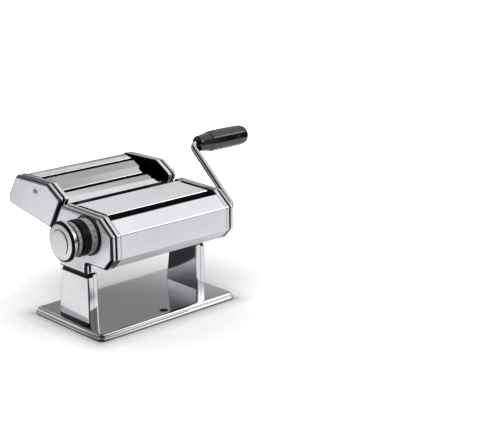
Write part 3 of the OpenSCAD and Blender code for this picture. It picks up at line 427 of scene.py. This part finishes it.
def buildCutterEnds(look=cutter):
    # painted shade inside the frames: their inner faces and the walls that look at the middle are painted
    # dark
    middle = np.mean(look["outline"], axis=0)
    inside = [(oiledSteelAndPaintedShade, lambda c, n: (n[:, 0] < -0.5) | (((middle - c[:, 1:]) * n[:, 1:]).sum(1) > 0))]
    screw = [(*look["screwAt"], look["screwBore"])]
    bores = [(y, z, look["rollerBore"]) for y, z in look["rollersAt"]]
    bores += [(y, z, look["rodBore"]) for y, z in look["rodsAt"]] + screw
    facePlates("cutterFrame", look, {-1: bores, 1: bores}, frameSections(look), "cutter_frame_", "cutter",
               inside)
    sockets = [(y, z, look["socketHole"]) for y, z in look["socketsAt"]]
    facePlates("cutterCap", look, {-1: screw, 1: screw + sockets}, capSections(look), "cutter_cap_", "cutter",
               capZones(look))


# bent sheets over the body, as paths in YZ, with the limits of their dark lips
covers = {"halfLength": 77.6, "sheet": 1.0,
          "front": [(-54, 127), (-55.8, 135.5), (-74.2, 121.2), (-74.2, 94), (-62.3, 81.8)],
          "frontBend": [2, 2, 3, 3, 2], "faceArea": 300, "lipFrom": -55.6, "lipBelow": 134.4, "lipAbove": 100,
          "top": [(10.9, 130.5), (10.9, 138.4), (-46, 137.8), (-47.2, 124)], "topBend": [2, 1.6, 1.6, 2],
          "notchFrom": 4, "notch": 4, "notchSoft": 3, "topLipBelow": 136.6, "topLipFrom": 7.6,
          "rear": [(22.5, 87.2), (31.484, 113.2), (19.3, 134.3)], "rearBend": 5}


def buildCovers(look=covers):
    # broad faces are brushed; the lips that turn down into the slots and the top plate's rear bend are
    # painted dark, a painted shade
    half, t = look["halfLength"], look["sheet"]
    face = (brushedChrome, lambda c, n, area: area > look["faceArea"])
    lip = (oiledSteelAndPaintedShade, lambda c, n, area: (c[:, 1] > look["lipFrom"]) & (c[:, 2] < look["lipBelow"])
           & (c[:, 2] > look["lipAbove"]))
    bentSheet("frontCover", look["front"], look["frontBend"], t, -half, half, chrome, "frame",
              ["front_cover"], "sheet", zones=[face, lip])
    bentSheet("rearCover", look["rear"], look["rearBend"], t, -half, half, chrome, "frame",
              ["rear_cover"], "sheet")

    def notched(y):
        # full width at the rear, narrower by the notch in front of notchFrom, with a soft corner
        return half - look["notch"] * np.clip((look["notchFrom"] - y) / look["notchSoft"], 0, 1) ** 0.5
    face = (brushedChrome, lambda c, n, area: n[:, 2] > 0.99)
    lips = (oiledSteelAndPaintedShade, lambda c, n, area: (c[:, 2] < look["topLipBelow"]) | (n[:, 2] < -0.5)
            | (c[:, 1] > look["topLipFrom"]))
    bentSheet("topPlate", look["top"], look["topBend"], t, lambda y: -notched(y), notched, chrome, "frame",
              ["top_plate"], "sheet", spacing=0.8, zones=[face, lips])


# the outer and inner shells of a leg meet at the seam; the rear walls flare out towards the foot
legs = {"front": -25.2, "rear": 25, "flare": 8, "top": 64.5, "bottom": 8, "bend": 1.9, "sheet": 1.0,
        "outer": 88, "inner": 74, "seam": 80.58, "seamGap": 0.5,
        "joggle": 1.8, "joggleFrom": 61, "joggleTo": 63,
        "softOutside": 85, "darkOutside": 80, "darkAbove": 61.6}


def buildLegs(look=legs):
    z = np.unique(np.concatenate([np.linspace(look["bottom"], look["top"], 21),
                                  np.linspace(look["joggleFrom"], look["joggleTo"], 9)]))
    # rear wall: rear + flare * share of the height left above ^ 1.5
    rear = look["rear"] + look["flare"] * ((look["top"] - z) / (look["top"] - look["bottom"])) ** 1.5
    # the outer face is softer; above the joggle it is painted dark, a painted shadow under the end cap's edge
    zones = [(satinChrome, lambda c, n, area: (abs(n[:, 0]) > 0.99) & (c[:, 2] < look["joggleFrom"])
              & (abs(c[:, 0]) > look["softOutside"])),
             (oiledSteelAndPaintedShade, lambda c, n, area: (c[:, 2] > look["darkAbove"])
              & (abs(c[:, 0]) > look["darkOutside"]))]
    for side, part in ((side, part) for side in (-1, 1) for part in ("outer", "inner")):
        turn = 1 if part == "outer" else -1
        opening = look["seam"] + turn * look["seamGap"] / 2
        rings = []
        for height, back in zip(z, rear):
            # the outer shell steps in near its top, where it slides up behind the end cap: 3 s^2 - 2 s^3
            step = (height - look["joggleFrom"]) / (look["joggleTo"] - look["joggleFrom"])
            step = min(max(step, 0), 1) if part == "outer" else 0
            face = look[part] - look["joggle"] * step * step * (3 - 2 * step)
            # channel section: out along the front wall, round the bend, across the face and back
            corners = [(opening, look["front"]), (face, look["front"]), (face, back), (opening, back)]
            outer = softPath(corners, look["bend"])
            section = np.vstack([outer, besidePath(outer, look["sheet"] * turn)[::-1]])
            level = np.full(len(section), height)
            rings.append(np.column_stack([side * section[:, 0], section[:, 1], level]))
        word = "left" if side < 0 else "right"
        ringPiece("leg" + part.title() + word.title(), np.array(rings), chrome, "frame",
                  ["leg_%s_%s" % (part, word)], "sheet", zones=zones)


# the rim is (inset, level), from the underside round the edge to the top
base = {"length": 204, "width": 129, "corner": 8, "clampAt": (0, -50.5), "clampRadius": 5.1,
        "clampWall": 2.4, "clampFrom": 0.3, "clampTo": 6.7,
        "rim": [(5.2, 6.8), (4.2, 6.6), (3.3, 5.8), (3.1, 4.8), (3.1, 3.5), (2.6, 2.9), (1.4, 2.6),
                (1.2, 2.2), (1.2, 0.2), (1, 0), (0.3, 0), (0, 0.3), (0, 2.6), (0.25, 3.1), (0.8, 3.5),
                (1.6, 3.7), (1.9, 4.0), (1.95, 4.5), (1.95, 5.9), (2.2, 6.7), (2.7, 7.3), (3.4, 7.75),
                (4.2, 7.95), (5, 8)]}


def buildBase(look=base):
    x, y = look["length"] / 2, look["width"] / 2
    cx, cy, r = *look["clampAt"], look["clampRadius"]
    shellPiece("basePlate", [(-x, -y), (x, -y), (x, y), (-x, y)], [look["corner"]] * 4, look["rim"],
               lambda p: p, [(cx, cy, r)], chrome, "frame", ["base_plate"], "sheet", steps=12)
    # a tube turned round X, then swung upright
    wall = [(r, look["clampFrom"]), (r + look["clampWall"], look["clampFrom"]),
            (r + look["clampWall"], look["clampTo"]), (r, look["clampTo"])]
    tube = turnedRings(wall, (0, cx, cy), 1, 48)
    ringPiece("clampSocket", tube[:, :, [1, 2, 0]], steel, "frame", wrapRows=True)


# profiles (radius, distance outwards from the left cap's face)
knob = {"face": -91.5,
        "dialFlange": [(9, 0.02), (22.6, 0.02), (23, 0.4), (23, 2.5), (22.6, 2.9), (20.4, 3), (9, 3)],
        "drum": [(9, 3.02), (20.3, 3.02), (20.3, 9.6), (20, 9.95), (9, 9.95)],
        "collar": [(6, 10.4), (19.6, 10.4), (20.1, 10.6)],
        "ribs": 5, "ribPitch": 1.7, "ribRadius": 20.9, "ribDepth": 0.8, "ribFrom": 11.0,
        "ribGain": 1.6, "ribCut": 0.9, "ribClip": 0.6, "ribPower": 0.8,
        "neck": [(20, 19.8), (18.6, 20.1), (18.4, 22.3), (17.4, 22.5), (17.4, 28.4), (12.5, 28.4),
                 (12.5, 24.5), (6, 24.5)],
        "ring": [(17.5, 22.6), (19.2, 22.6), (19.6, 23), (19.6, 25.6), (19.2, 26), (17.5, 26)],
        "head": [(0.2, 37.1), (12.5, 36.5), (12.5, 28.5), (18.9, 28.5), (19.2, 28.8), (19.2, 29.6),
                 (20.3, 30.1), (20.6, 30.6), (20.6, 31.2), (21.5, 31.8), (22.5, 32.3), (22.95, 33.1),
                 (23, 34.2), (22.85, 35.2), (22.3, 36.1), (21.4, 36.8), (20, 37.3), (17.6, 37.7),
                 (15, 37.95), (14.6, 38.0), (14.4, 38.15), (14.25, 38.7), (13.9, 39.1), (13.1, 39.3),
                 (9, 39.42), (4.5, 39.48), (0.2, 39.49)],
        "rimLine": 35.9, "rimLineHalf": 1.15,
        "digitAt": 6.5, "digitSize": (1.7, 2.9), "stroke": 0.42, "digitStep": 20, "zeroAt": 250,
        "tickFrom": 23.3, "tickTo": 25.2, "tickHalf": 0.018, "inkBelow": 0.1, "inkAbove": 0.05}
# the seven strokes of a plain digit, as shares of its width and height, and the strokes that each digit uses
strokeBoxes = {"a": (-1, 1, 1, 1), "b": (1, 1, 0, 1), "c": (1, 1, -1, 0), "d": (-1, 1, -1, -1),
               "e": (-1, -1, -1, 0), "f": (-1, -1, 0, 1), "g": (-1, 1, 0, 0)}
digitStrokes = ["abcdef", "bc", "abged", "abgcd", "fgbc", "afgcd", "afgedc", "abc", "abcdefg", "abcdfg"]


def printedMarks(name, marks, radius, axis, body, look=knob):
    # marks (distance from, to, angle from, to) as thin tiles on a cylinder: x - d, y + r cos a, z + r sin a
    box = np.array(marks)
    d, a = np.tile(box[:, [0, 1, 1, 0]], 2), np.tile(box[:, [2, 2, 3, 3]], 2)
    r = np.repeat([radius - look["inkBelow"], radius + look["inkAbove"]], 4)
    points = np.stack([axis[0] - d, axis[1] + r * np.cos(a), axis[2] + r * np.sin(a)], 2).reshape(-1, 3)
    sides = np.array([(0, 1, 2, 3), (4, 5, 6, 7), (0, 1, 5, 4), (1, 2, 6, 5), (2, 3, 7, 6), (3, 0, 4, 7)])
    faces = (8 * np.arange(len(box))[:, None, None] + sides).reshape(-1, 4)
    addPiece(name, points, faces.tolist(), blackAbs, body)


def buildMarks(axis, look=knob):
    width, height = look["digitSize"]
    half = look["stroke"] / 2
    radius = look["drum"][1][0]
    marks = []
    for digit, strokes in enumerate(digitStrokes):
        middle = math.radians(look["zeroAt"] - digit * look["digitStep"])
        for u0, u1, v0, v1 in (strokeBoxes[k] for k in strokes):
            across = [middle + (u * width / 2 + e) / radius for u, e in ((u0, -half), (u1, half))]
            along = [look["digitAt"] - v1 * height / 2 - half, look["digitAt"] - v0 * height / 2 + half]
            marks.append((*along, *across))
    printedMarks("dialDigits", marks, radius, axis, "frame")
    ticks = np.radians(np.arange(0, 360, look["digitStep"]))
    marks = [(look["tickFrom"], look["tickTo"], a - look["tickHalf"], a + look["tickHalf"]) for a in ticks]
    printedMarks("knobTicks", marks, look["ring"][2][0], axis, "knob")


def buildKnob(look=knob):
    axis = (look["face"], *body["knobAt"])
    ringPiece("dialFlange", turnedRings(look["dialFlange"], axis), blackAbs, "frame", ["dial_ring"],
              "black_plastic", wrapRows=True)
    ringPiece("dialDrum", turnedRings(look["drum"], axis), greyAbs, "frame", wrapRows=True)
    # ribs with flat lands: wave = gain * |sin(pi s / pitch + pi / 2)| - cut, held between 0 and clip,
    # and r = ribRadius - ribDepth * (wave / clip) ^ power
    s = np.linspace(0, look["ribs"] * look["ribPitch"], 61)
    wave = look["ribGain"] * np.abs(np.sin(np.pi * s / look["ribPitch"] + np.pi / 2)) - look["ribCut"]
    wave = np.clip(wave, 0, look["ribClip"]) ** look["ribPower"] / look["ribClip"] ** look["ribPower"]
    ribs = look["ribRadius"] - look["ribDepth"] * wave
    ribs = np.column_stack([ribs, s + look["ribFrom"]])
    grip = look["collar"] + ribs.tolist() + look["neck"]
    ringPiece("knobGrip", turnedRings(grip, axis, steps=128), blackAbs, "knob", ["knob_grip"],
              "black_plastic", wrapRows=True)
    ringPiece("knobRing", turnedRings(look["ring"], axis), greyAbs, "knob", ["knob_ring"],
              "grey_plastic", wrapRows=True)
    # a painted dark line runs round the head's rounded front edge, standing in for the dark reflection there
    line = (oiledSteelAndPaintedShade, lambda c, n, area:
            abs(look["face"] - c[:, 0] - look["rimLine"]) < look["rimLineHalf"])
    ringPiece("knobHead", turnedRings(look["head"], axis, steps=144), satinChrome, "knob", ["knob_head"],
              "sheet", sharp=38, zones=[line])
    buildMarks(axis)


# the rod leaves its socket along X, bends up the arm at planeX and bends out again to the handle
crank = {"throw": 96, "angle": 41.5, "rod": 4, "planeX": 102.5, "bend": 8,
         "socket": 81, "handleX": 111.1, "handleGap": 0.1,
         "pinRadius": 3, "pinTip": 2.6, "pinFrom": 0.2, "pinTo": 71.5, "pinChamfer": 0.3}


def carriedCircle(path, across, normal, radius, steps=32):
    # circle carried along a flat path: point + radius * (cos a * across + sin a * normal)
    a = np.linspace(0, 2 * np.pi, steps, endpoint=False)
    return path[:, None] + radius * (np.cos(a)[None, :, None] * across[:, None]
                                     + np.sin(a)[None, :, None] * normal)


def buildCrank(look=crank):
    y0, z0 = body["driveAt"]
    t = math.radians(look["angle"])
    reach = np.array([0, math.cos(t), math.sin(t)])
    flat = np.array([0, -math.sin(t), math.cos(t)])
    # the rod in its own plane: (x, distance along the arm)
    points = [(look["socket"], 0), (look["planeX"], 0), (look["planeX"], look["throw"]),
              (look["handleX"] - look["handleGap"], look["throw"])]
    plan = softPath(points, [1, look["bend"], look["bend"], 1], 14)
    place = np.array([0, y0, z0]) + np.column_stack([plan[:, 0], plan[:, 1, None] * reach[1:]])
    along = np.gradient(place, axis=0)
    along /= np.linalg.norm(along, axis=1)[:, None]
    across = np.cross(along, flat)
    ringPiece("crankRod", carriedCircle(place, across, flat, look["rod"]), satinChrome, "crank",
              ["crank_rod"], "steel")
    pinAt = place[-1] * [0, 1, 1]
    profile = [(look["pinRadius"], look["handleX"] - look["pinFrom"]),
               (look["pinRadius"], look["handleX"] + look["pinTo"] - look["pinChamfer"]),
               (look["pinTip"], look["handleX"] + look["pinTo"])]
    ringPiece("crankPin", turnedRings(profile, pinAt, 1, 40), steel, "crank")
    return pinAt


# profile (distance, radius), flats counted round the grip, how flat they are and how far turned (radians)
handle = {"profile": [(0, 8.2), (0.35, 8.9), (1.1, 9.35), (3, 9.55), (8, 10.3), (14, 11.2), (16.6, 11.6),
                      (17.4, 12.1), (18.6, 12.4), (24, 12.72), (34, 12.85), (50, 12.8), (62, 12.65),
                      (70, 12.4), (73.5, 11.9), (75.6, 11.0), (77, 9.8), (77.7, 8.6), (78, 7.6)],
          "length": 78, "flats": 10, "stepsPerFlat": 16, "flatness": 1.0, "turned": -0.073, "swell": 1.012,
          "flatsFrom": 1.5, "fadeIn": 2, "flatsTo": 77, "fadeOut": 5,
          "bore": 3.05, "recess": 6.2, "recessAt": 69}


def buildHandle(pinAt, look=handle):
    knots = np.array(look["profile"])
    s = np.unique(np.concatenate([knots[:, 0], np.linspace(0, look["length"], look["length"] + 1)]))
    r = np.interp(s, knots[:, 0], knots[:, 1])
    steps = look["flats"] * look["stepsPerFlat"]
    a = np.linspace(0, 2 * np.pi, steps, endpoint=False)
    # a regular polygon in polar form, r cos(w) / cos(angle from the flat's middle), with w half a flat,
    # swollen a little and held inside the circle, which blunts its corners
    w = np.pi / look["flats"]
    polygon = math.cos(w) / np.cos(((a + look["turned"]) % (2 * w)) - w) * look["swell"]
    # the flats fade in at the neck and out at the far end
    fade = np.minimum((s - look["flatsFrom"]) / look["fadeIn"], (look["flatsTo"] - s) / look["fadeOut"])
    share = look["flatness"] * np.clip(fade, 0, 1)
    ring = 1 + share[:, None] * (np.minimum(polygon, 1.0) - 1)[None]
    radius = r[:, None] * ring
    outside = np.stack([np.broadcast_to(s[:, None], ring.shape), radius * np.cos(a), radius * np.sin(a)], 2)
    # the bore, and a wider recess for the screw at the far end
    inner = [(look["recess"], look["length"]), (look["recess"], look["recessAt"]),
             (look["bore"], look["recessAt"]), (look["bore"], 0)]
    inside = turnedRings(inner, (0, 0, 0), 1, steps)
    rings = np.concatenate([outside, inside]) + np.array([crank["handleX"], pinAt[1], pinAt[2]])
    ringPiece("crankHandle", rings, gripAbs, "handle", ["crank_handle"], "black_plastic",
              wrapRows=True, sharp=24)


# bent sheets over the cutter, as paths in YZ, whose lips turn down into the slots above its rollers
plates = {"half": 74.0, "sheet": 1.0, "reliefAt": (76.3, 52.54), "reliefRadius": 19.5, "frontTop": 130,
          "frontPath": [(47.54, 139), (47.04, 143), (36, 139.04), (26.523, 135), (41.523, 109.02)],
          "frontBend": [1.4, 1.4, 30, 1.6, 1.4], "frontLip": 142.3, "frontEdge": (28, 135.2),
          "middlePath": [(86.74, 148.4), (86.24, 152), (68.44, 148.2), (53.64, 144), (53.14, 140.4)],
          "middleBend": [1.4, 1.4, 4, 1.4, 1.4], "middleLip": 151.4,
          "rearPath": [(124.44, 122.6), (126.44, 128.4), (108.44, 155.6), (91.84, 153.2), (91.34, 149.2)],
          "rearBend": [1.4, 3, 3, 1.4, 1.4], "rearLip": 152.6, "lipAbove": 120}


def buildCutterPlates(look=plates):
    half, t = look["half"], look["sheet"]
    cx, cy, r = *look["reliefAt"], look["reliefRadius"]

    def relieved(y):
        # right edge, cut back to the half-round relief: cx - sqrt(r^2 - (y - cy)^2)
        inside = r * r - (y - cy) ** 2
        return np.where(inside > 0, np.minimum(half, cx - np.sqrt(np.maximum(inside, 0))), half)

    def lips(level):
        # the lips that turn down into the slots are painted dark, a painted shade
        return (oiledSteelAndPaintedShade, lambda c, n, area: (abs(n[:, 1]) > 0.93) & (c[:, 2] > look["lipAbove"])
                & (c[:, 2] < level) | (n[:, 2] < -0.2))
    bentSheet("cutterMiddlePlate", look["middlePath"], look["middleBend"], t, -half, relieved, chrome,
              "cutter", ["cutter_middle_plate"], "sheet", spacing=0.4, zones=[lips(look["middleLip"])])
    bentSheet("cutterRearCover", look["rearPath"], look["rearBend"], t, -half, half, chrome,
              "cutter", ["cutter_rear_cover"], "sheet", zones=[lips(look["rearLip"])])
    # only the front plate's top reaches the relief; its lower front edge is painted dark too, a painted shade
    top = softPath(look["frontPath"], look["frontBend"], spacing=0.4)[:, 1] > look["frontTop"]
    y, z = look["frontEdge"]
    edge = (oiledSteelAndPaintedShade, lambda c, n, area: (c[:, 1] < y) & (c[:, 2] < z))
    bentSheet("cutterFrontPlate", look["frontPath"], look["frontBend"], t, -half,
              lambda y: np.where(top, relieved(y), half), chrome, "cutter", ["cutter_front_plate"], "sheet",
              spacing=0.4, zones=[lips(look["frontLip"]), edge])


buildBase()
buildLegs()
buildEnds()
buildCovers()
buildKnob()
buildHandle(buildCrank())
buildCutterEnds()
buildCutterPlates()
print("pieces done")


# camera and soft boxes, in metres and watts; a box is (place, aimed at, size, power, seen in metal)
studio = {"cameraAt": (-0.8470, -1.0668, 0.5129), "cameraBack": (-0.668, -0.688, 0.2845), "lens": 87.245,
          "sensor": 36, "nearest": 0.01, "furthest": 50,
          "boxes": [((-0.9, -0.5, 1.3), (0, 0, 0.08), 1.1, 20, False),
                    ((1.2, -0.9, 0.9), (0, 0, 0.08), 0.8, 6, True),
                    ((0.1, 1.2, 1.1), (0, 0, 0.1), 0.9, 6, False)]}


def aimedObject(name, data, place, direction):
    item = bpy.data.objects.new(name, data)
    bpy.context.scene.collection.objects.link(item)
    item.location = place
    item.rotation_mode = "QUATERNION"
    item.rotation_quaternion = Vector(direction).to_track_quat("-Z", "Y")
    return item


def buildCamera(look=studio):
    scene = bpy.context.scene
    scene.view_settings.view_transform = "Standard"
    data = bpy.data.cameras.new("camera")
    data.lens = look["lens"]
    data.sensor_width = look["sensor"]
    data.clip_start = look["nearest"]
    data.clip_end = look["furthest"]
    scene.camera = aimedObject("camera", data, look["cameraAt"], -Vector(look["cameraBack"]))
    for i, (place, aim, size, power, seen) in enumerate(look["boxes"]):
        lamp = bpy.data.lights.new("softBox%d" % i, "AREA")
        lamp.energy = power
        lamp.size = size
        box = aimedObject("softBox%d" % i, lamp, place, Vector(aim) - Vector(place))
        box.visible_glossy = seen


# settings of the mix nodes: one colour over another, and the two multiplied
mixed = {"data_type": "RGBA"}
multiplied = {"data_type": "RGBA", "blend_type": "MULTIPLY", 0: 1.0}


def bySine(levels):
    # a ramp runs from 0 to 1, so a direction's part z becomes (z + 1) / 2
    return [((z + 1) / 2, level) for z, level in levels]


# a room that only reflections see; its levels and masks are (sine of the elevation, level): a dark gap at
# eye level, then a pale band, a darker fold and white cloth with more folds
room = {"levels": [(-0.1, 0.6), (-0.02, 0.02), (0.13, 0.02), (0.18, 0.3), (0.22, 0.85), (0.255, 0.8),
                   (0.285, 0.6), (0.33, 0.28), (0.42, 0.28), (0.455, 0.95), (0.47, 1.0), (0.5, 0.9),
                   (0.535, 0.5), (0.565, 0.55), (0.595, 1.0), (0.61, 0.85), (0.635, 0.5), (0.68, 0.55),
                   (0.715, 1.1), (1.0, 1.0)],
        "clothFrom": -0.4, "clothTo": -0.5, "cloth": [(0.14, 0.0), (0.18, 1.0), (0.32, 1.0), (0.34, 0.0)],
        "cameraSide": [(0.8, 1.0), (0.9, 0.04)],
        "sideGap": [(-0.6, 0.02), (-0.4, 0.12), (-0.1, 0.4), (0.24, 0.7), (0.5, 1.0)],
        "sideGapAbove": [(0.32, 0.0), (0.36, 1.0)]}


def buildRoom(look=room):
    world = bpy.data.worlds.new("studioRoom")
    bpy.context.scene.world = world
    world.use_nodes = True
    tree = world.node_tree
    tree.nodes.clear()
    place = addNode(tree, "TexCoord").outputs["Generated"]
    parts = addNode(tree, "SeparateXYZ", None, {0: place}).outputs
    across = addNode(tree, "MapRange", {1: -1.0, 2: 1.0}, {0: parts["X"]})
    lift = addNode(tree, "MapRange", {1: -1.0, 2: 1.0}, {0: parts["Z"]})
    tone = addNode(tree, "ValToRGB", None, {0: lift}, bySine(look["levels"]))
    # to the left the white cloth hangs lower, which the left end of the base mirrors
    leftward = addNode(tree, "MapRange", {1: look["clothFrom"], 2: look["clothTo"]}, {0: parts["X"]})
    low = addNode(tree, "ValToRGB", None, {0: lift}, bySine(look["cloth"]))
    cloth = addNode(tree, "Math", {"operation": "MULTIPLY"}, {0: leftward, 1: low})
    tone = addNode(tree, "Mix", {**mixed, 7: (1, 1, 1, 1)}, {0: cloth, 6: tone})
    # the room is dark where the camera stands
    facing = addNode(tree, "VectorMath", {"operation": "DOT_PRODUCT", 1: studio["cameraBack"]}, {0: place})
    shade = addNode(tree, "ValToRGB", None, {0: facing}, look["cameraSide"])
    tone = addNode(tree, "Mix", multiplied, {6: tone, 7: shade})
    # and above eye level beyond the crankless end
    gap = addNode(tree, "ValToRGB", None, {0: across}, bySine(look["sideGap"]))
    above = addNode(tree, "ValToRGB", None, {0: lift}, bySine(look["sideGapAbove"]))
    shade = addNode(tree, "Mix", {**mixed, 6: (1, 1, 1, 1)}, {0: above, 7: gap})
    tone = addNode(tree, "Mix", multiplied, {6: tone, 7: shade})
    # the camera itself sees plain white
    soft = addNode(tree, "Background", {"Strength": 1.0}, {0: tone})
    white = addNode(tree, "Background", {0: (1, 1, 1, 1), "Strength": 1.0})
    seen = addNode(tree, "LightPath").outputs["Is Camera Ray"]
    mix = addNode(tree, "MixShader", None, {0: seen, 1: soft, 2: white})
    addNode(tree, "OutputWorld", None, {0: mix})


# the floor, in metres: how it glows and darkens for the camera, and what polished metal sees instead
ground = {"colour": "#e9e9eb", "half": 3, "rough": 0.9, "specular": 0.1,
          "glow": [(0.12, 0.1), (0.4, 0.6), (0.9, 1.0)], "touch": [(0.0, 0.5), (0.008, 0.8), (0.025, 1.0)],
          "sheet": [(0.1, 1.05), (0.3, 1.05), (0.55, 0.85), (1.2, 0.7)],
          "gapTowards": (-0.697, -0.717, 0), "gap": [(0.72, 1.0), (0.9, 0.03)],
          "close": [(0.1, 1.0), (0.125, 0.0)],
          "line": [(0.005, 0.05), (0.009, 1.0)],
          "behindTowards": (0.2, 0.98, 0), "behind": [(0.86, 1.0), (0.95, 0.1)],
          "under": [(0.22, 1.0), (0.29, 0.0)], "underX": (-0.106, -0.088), "underY": (-0.06, 0.0),
          "underColour": (0.04, 0.04, 0.045, 1)}


def buildFloor(look=ground):
    h = look["half"]
    mesh = bpy.data.meshes.new("floor")
    mesh.from_pydata([(-h, -h, 0), (h, -h, 0), (h, h, 0), (-h, h, 0)], [], [(0, 1, 2, 3)])
    floor = bpy.data.objects.new("floor", mesh)
    bpy.context.scene.collection.objects.link(floor)
    material, tree, shader, coords = newMaterial("paintedFloor")
    rays = addNode(tree, "LightPath").outputs
    away = addNode(tree, "VectorMath", {"operation": "LENGTH"}, {0: coords})
    # the floor glows a little to the camera, so that only the shadow reads as grey
    spread = addNode(tree, "ValToRGB", None, {0: away}, look["glow"])
    glow = addNode(tree, "Math", {"operation": "MULTIPLY"}, {0: rays["Is Camera Ray"], 1: spread})
    # a painted contact shadow: it darkens where the base touches it, by the distance from the base: the
    # length of (|x| - half length, |y| - half width), with negative parts set to zero
    edges = addNode(tree, "VectorMath", {"operation": "ABSOLUTE"}, {0: coords})
    corner = (base["length"] / 2 * mm, base["width"] / 2 * mm, 0)
    edges = addNode(tree, "VectorMath", {"operation": "SUBTRACT", 1: corner}, {0: edges})
    edges = addNode(tree, "VectorMath", {"operation": "MAXIMUM", 1: (0, 0, 0)}, {0: edges})
    outside = addNode(tree, "VectorMath", {"operation": "LENGTH"}, {0: edges})
    touch = addNode(tree, "ValToRGB", None, {0: outside}, look["touch"])
    paint = addNode(tree, "Mix", {**multiplied, 6: linear(look["colour"])}, {7: touch})
    addNode(tree, shader, {"Roughness": look["rough"], "Specular IOR Level": look["specular"],
                           "Emission Color": (1, 1, 1, 1)}, {"Emission Strength": glow, "Base Color": paint})
    # polished metal sees a pale sheet, darker with distance, with a dark gap towards the camera
    # that starts a little way off the machine
    tone = addNode(tree, "ValToRGB", None, {0: away}, look["sheet"])
    outward = addNode(tree, "VectorMath", {"operation": "NORMALIZE"}, {0: coords})
    facing = addNode(tree, "VectorMath", {"operation": "DOT_PRODUCT", 1: look["gapTowards"]}, {0: outward})
    gap = addNode(tree, "ValToRGB", None, {0: facing}, look["gap"])
    close = addNode(tree, "ValToRGB", None, {0: away}, look["close"])
    shade = addNode(tree, "Math", {"operation": "MAXIMUM"}, {0: gap, 1: close})
    tone = addNode(tree, "Mix", multiplied, {6: tone, 7: shade})
    # a dark line of contact shadow runs round the base
    shade = addNode(tree, "ValToRGB", None, {0: outside}, look["line"])
    tone = addNode(tree, "Mix", multiplied, {6: tone, 7: shade})
    # straight behind the machine it is darker too, which draws a line round the far edges
    behind = addNode(tree, "VectorMath", {"operation": "DOT_PRODUCT", 1: look["behindTowards"]}, {0: outward})
    shade = addNode(tree, "ValToRGB", None, {0: behind}, look["behind"])
    tone = addNode(tree, "Mix", multiplied, {6: tone, 7: shade})
    # under and close round the machine the sheet lies in shadow, except in front and at the left end
    parts = addNode(tree, "SeparateXYZ", None, {0: coords}).outputs
    near = addNode(tree, "ValToRGB", None, {0: away}, look["under"])
    rightward, rearward = [addNode(tree, "MapRange", {1: low, 2: high}, {0: parts[axis]})
                           for axis, (low, high) in (("X", look["underX"]), ("Y", look["underY"]))]
    inner = addNode(tree, "Math", {"operation": "MULTIPLY"}, {0: rearward, 1: rightward})
    under = addNode(tree, "Math", {"operation": "MULTIPLY"}, {0: near, 1: inner})
    tone = addNode(tree, "Mix", {**mixed, 7: look["underColour"]}, {0: under, 6: tone})
    seen = addNode(tree, "Emission", None, {0: tone})
    both = addNode(tree, "MixShader", None, {0: rays["Is Glossy Ray"], 1: shader, 2: seen})
    addNode(tree, tree.nodes["Material Output"], None, {0: both})
    mesh.materials.append(material)


buildCamera()
buildRoom()
buildFloor()
print("studio done")
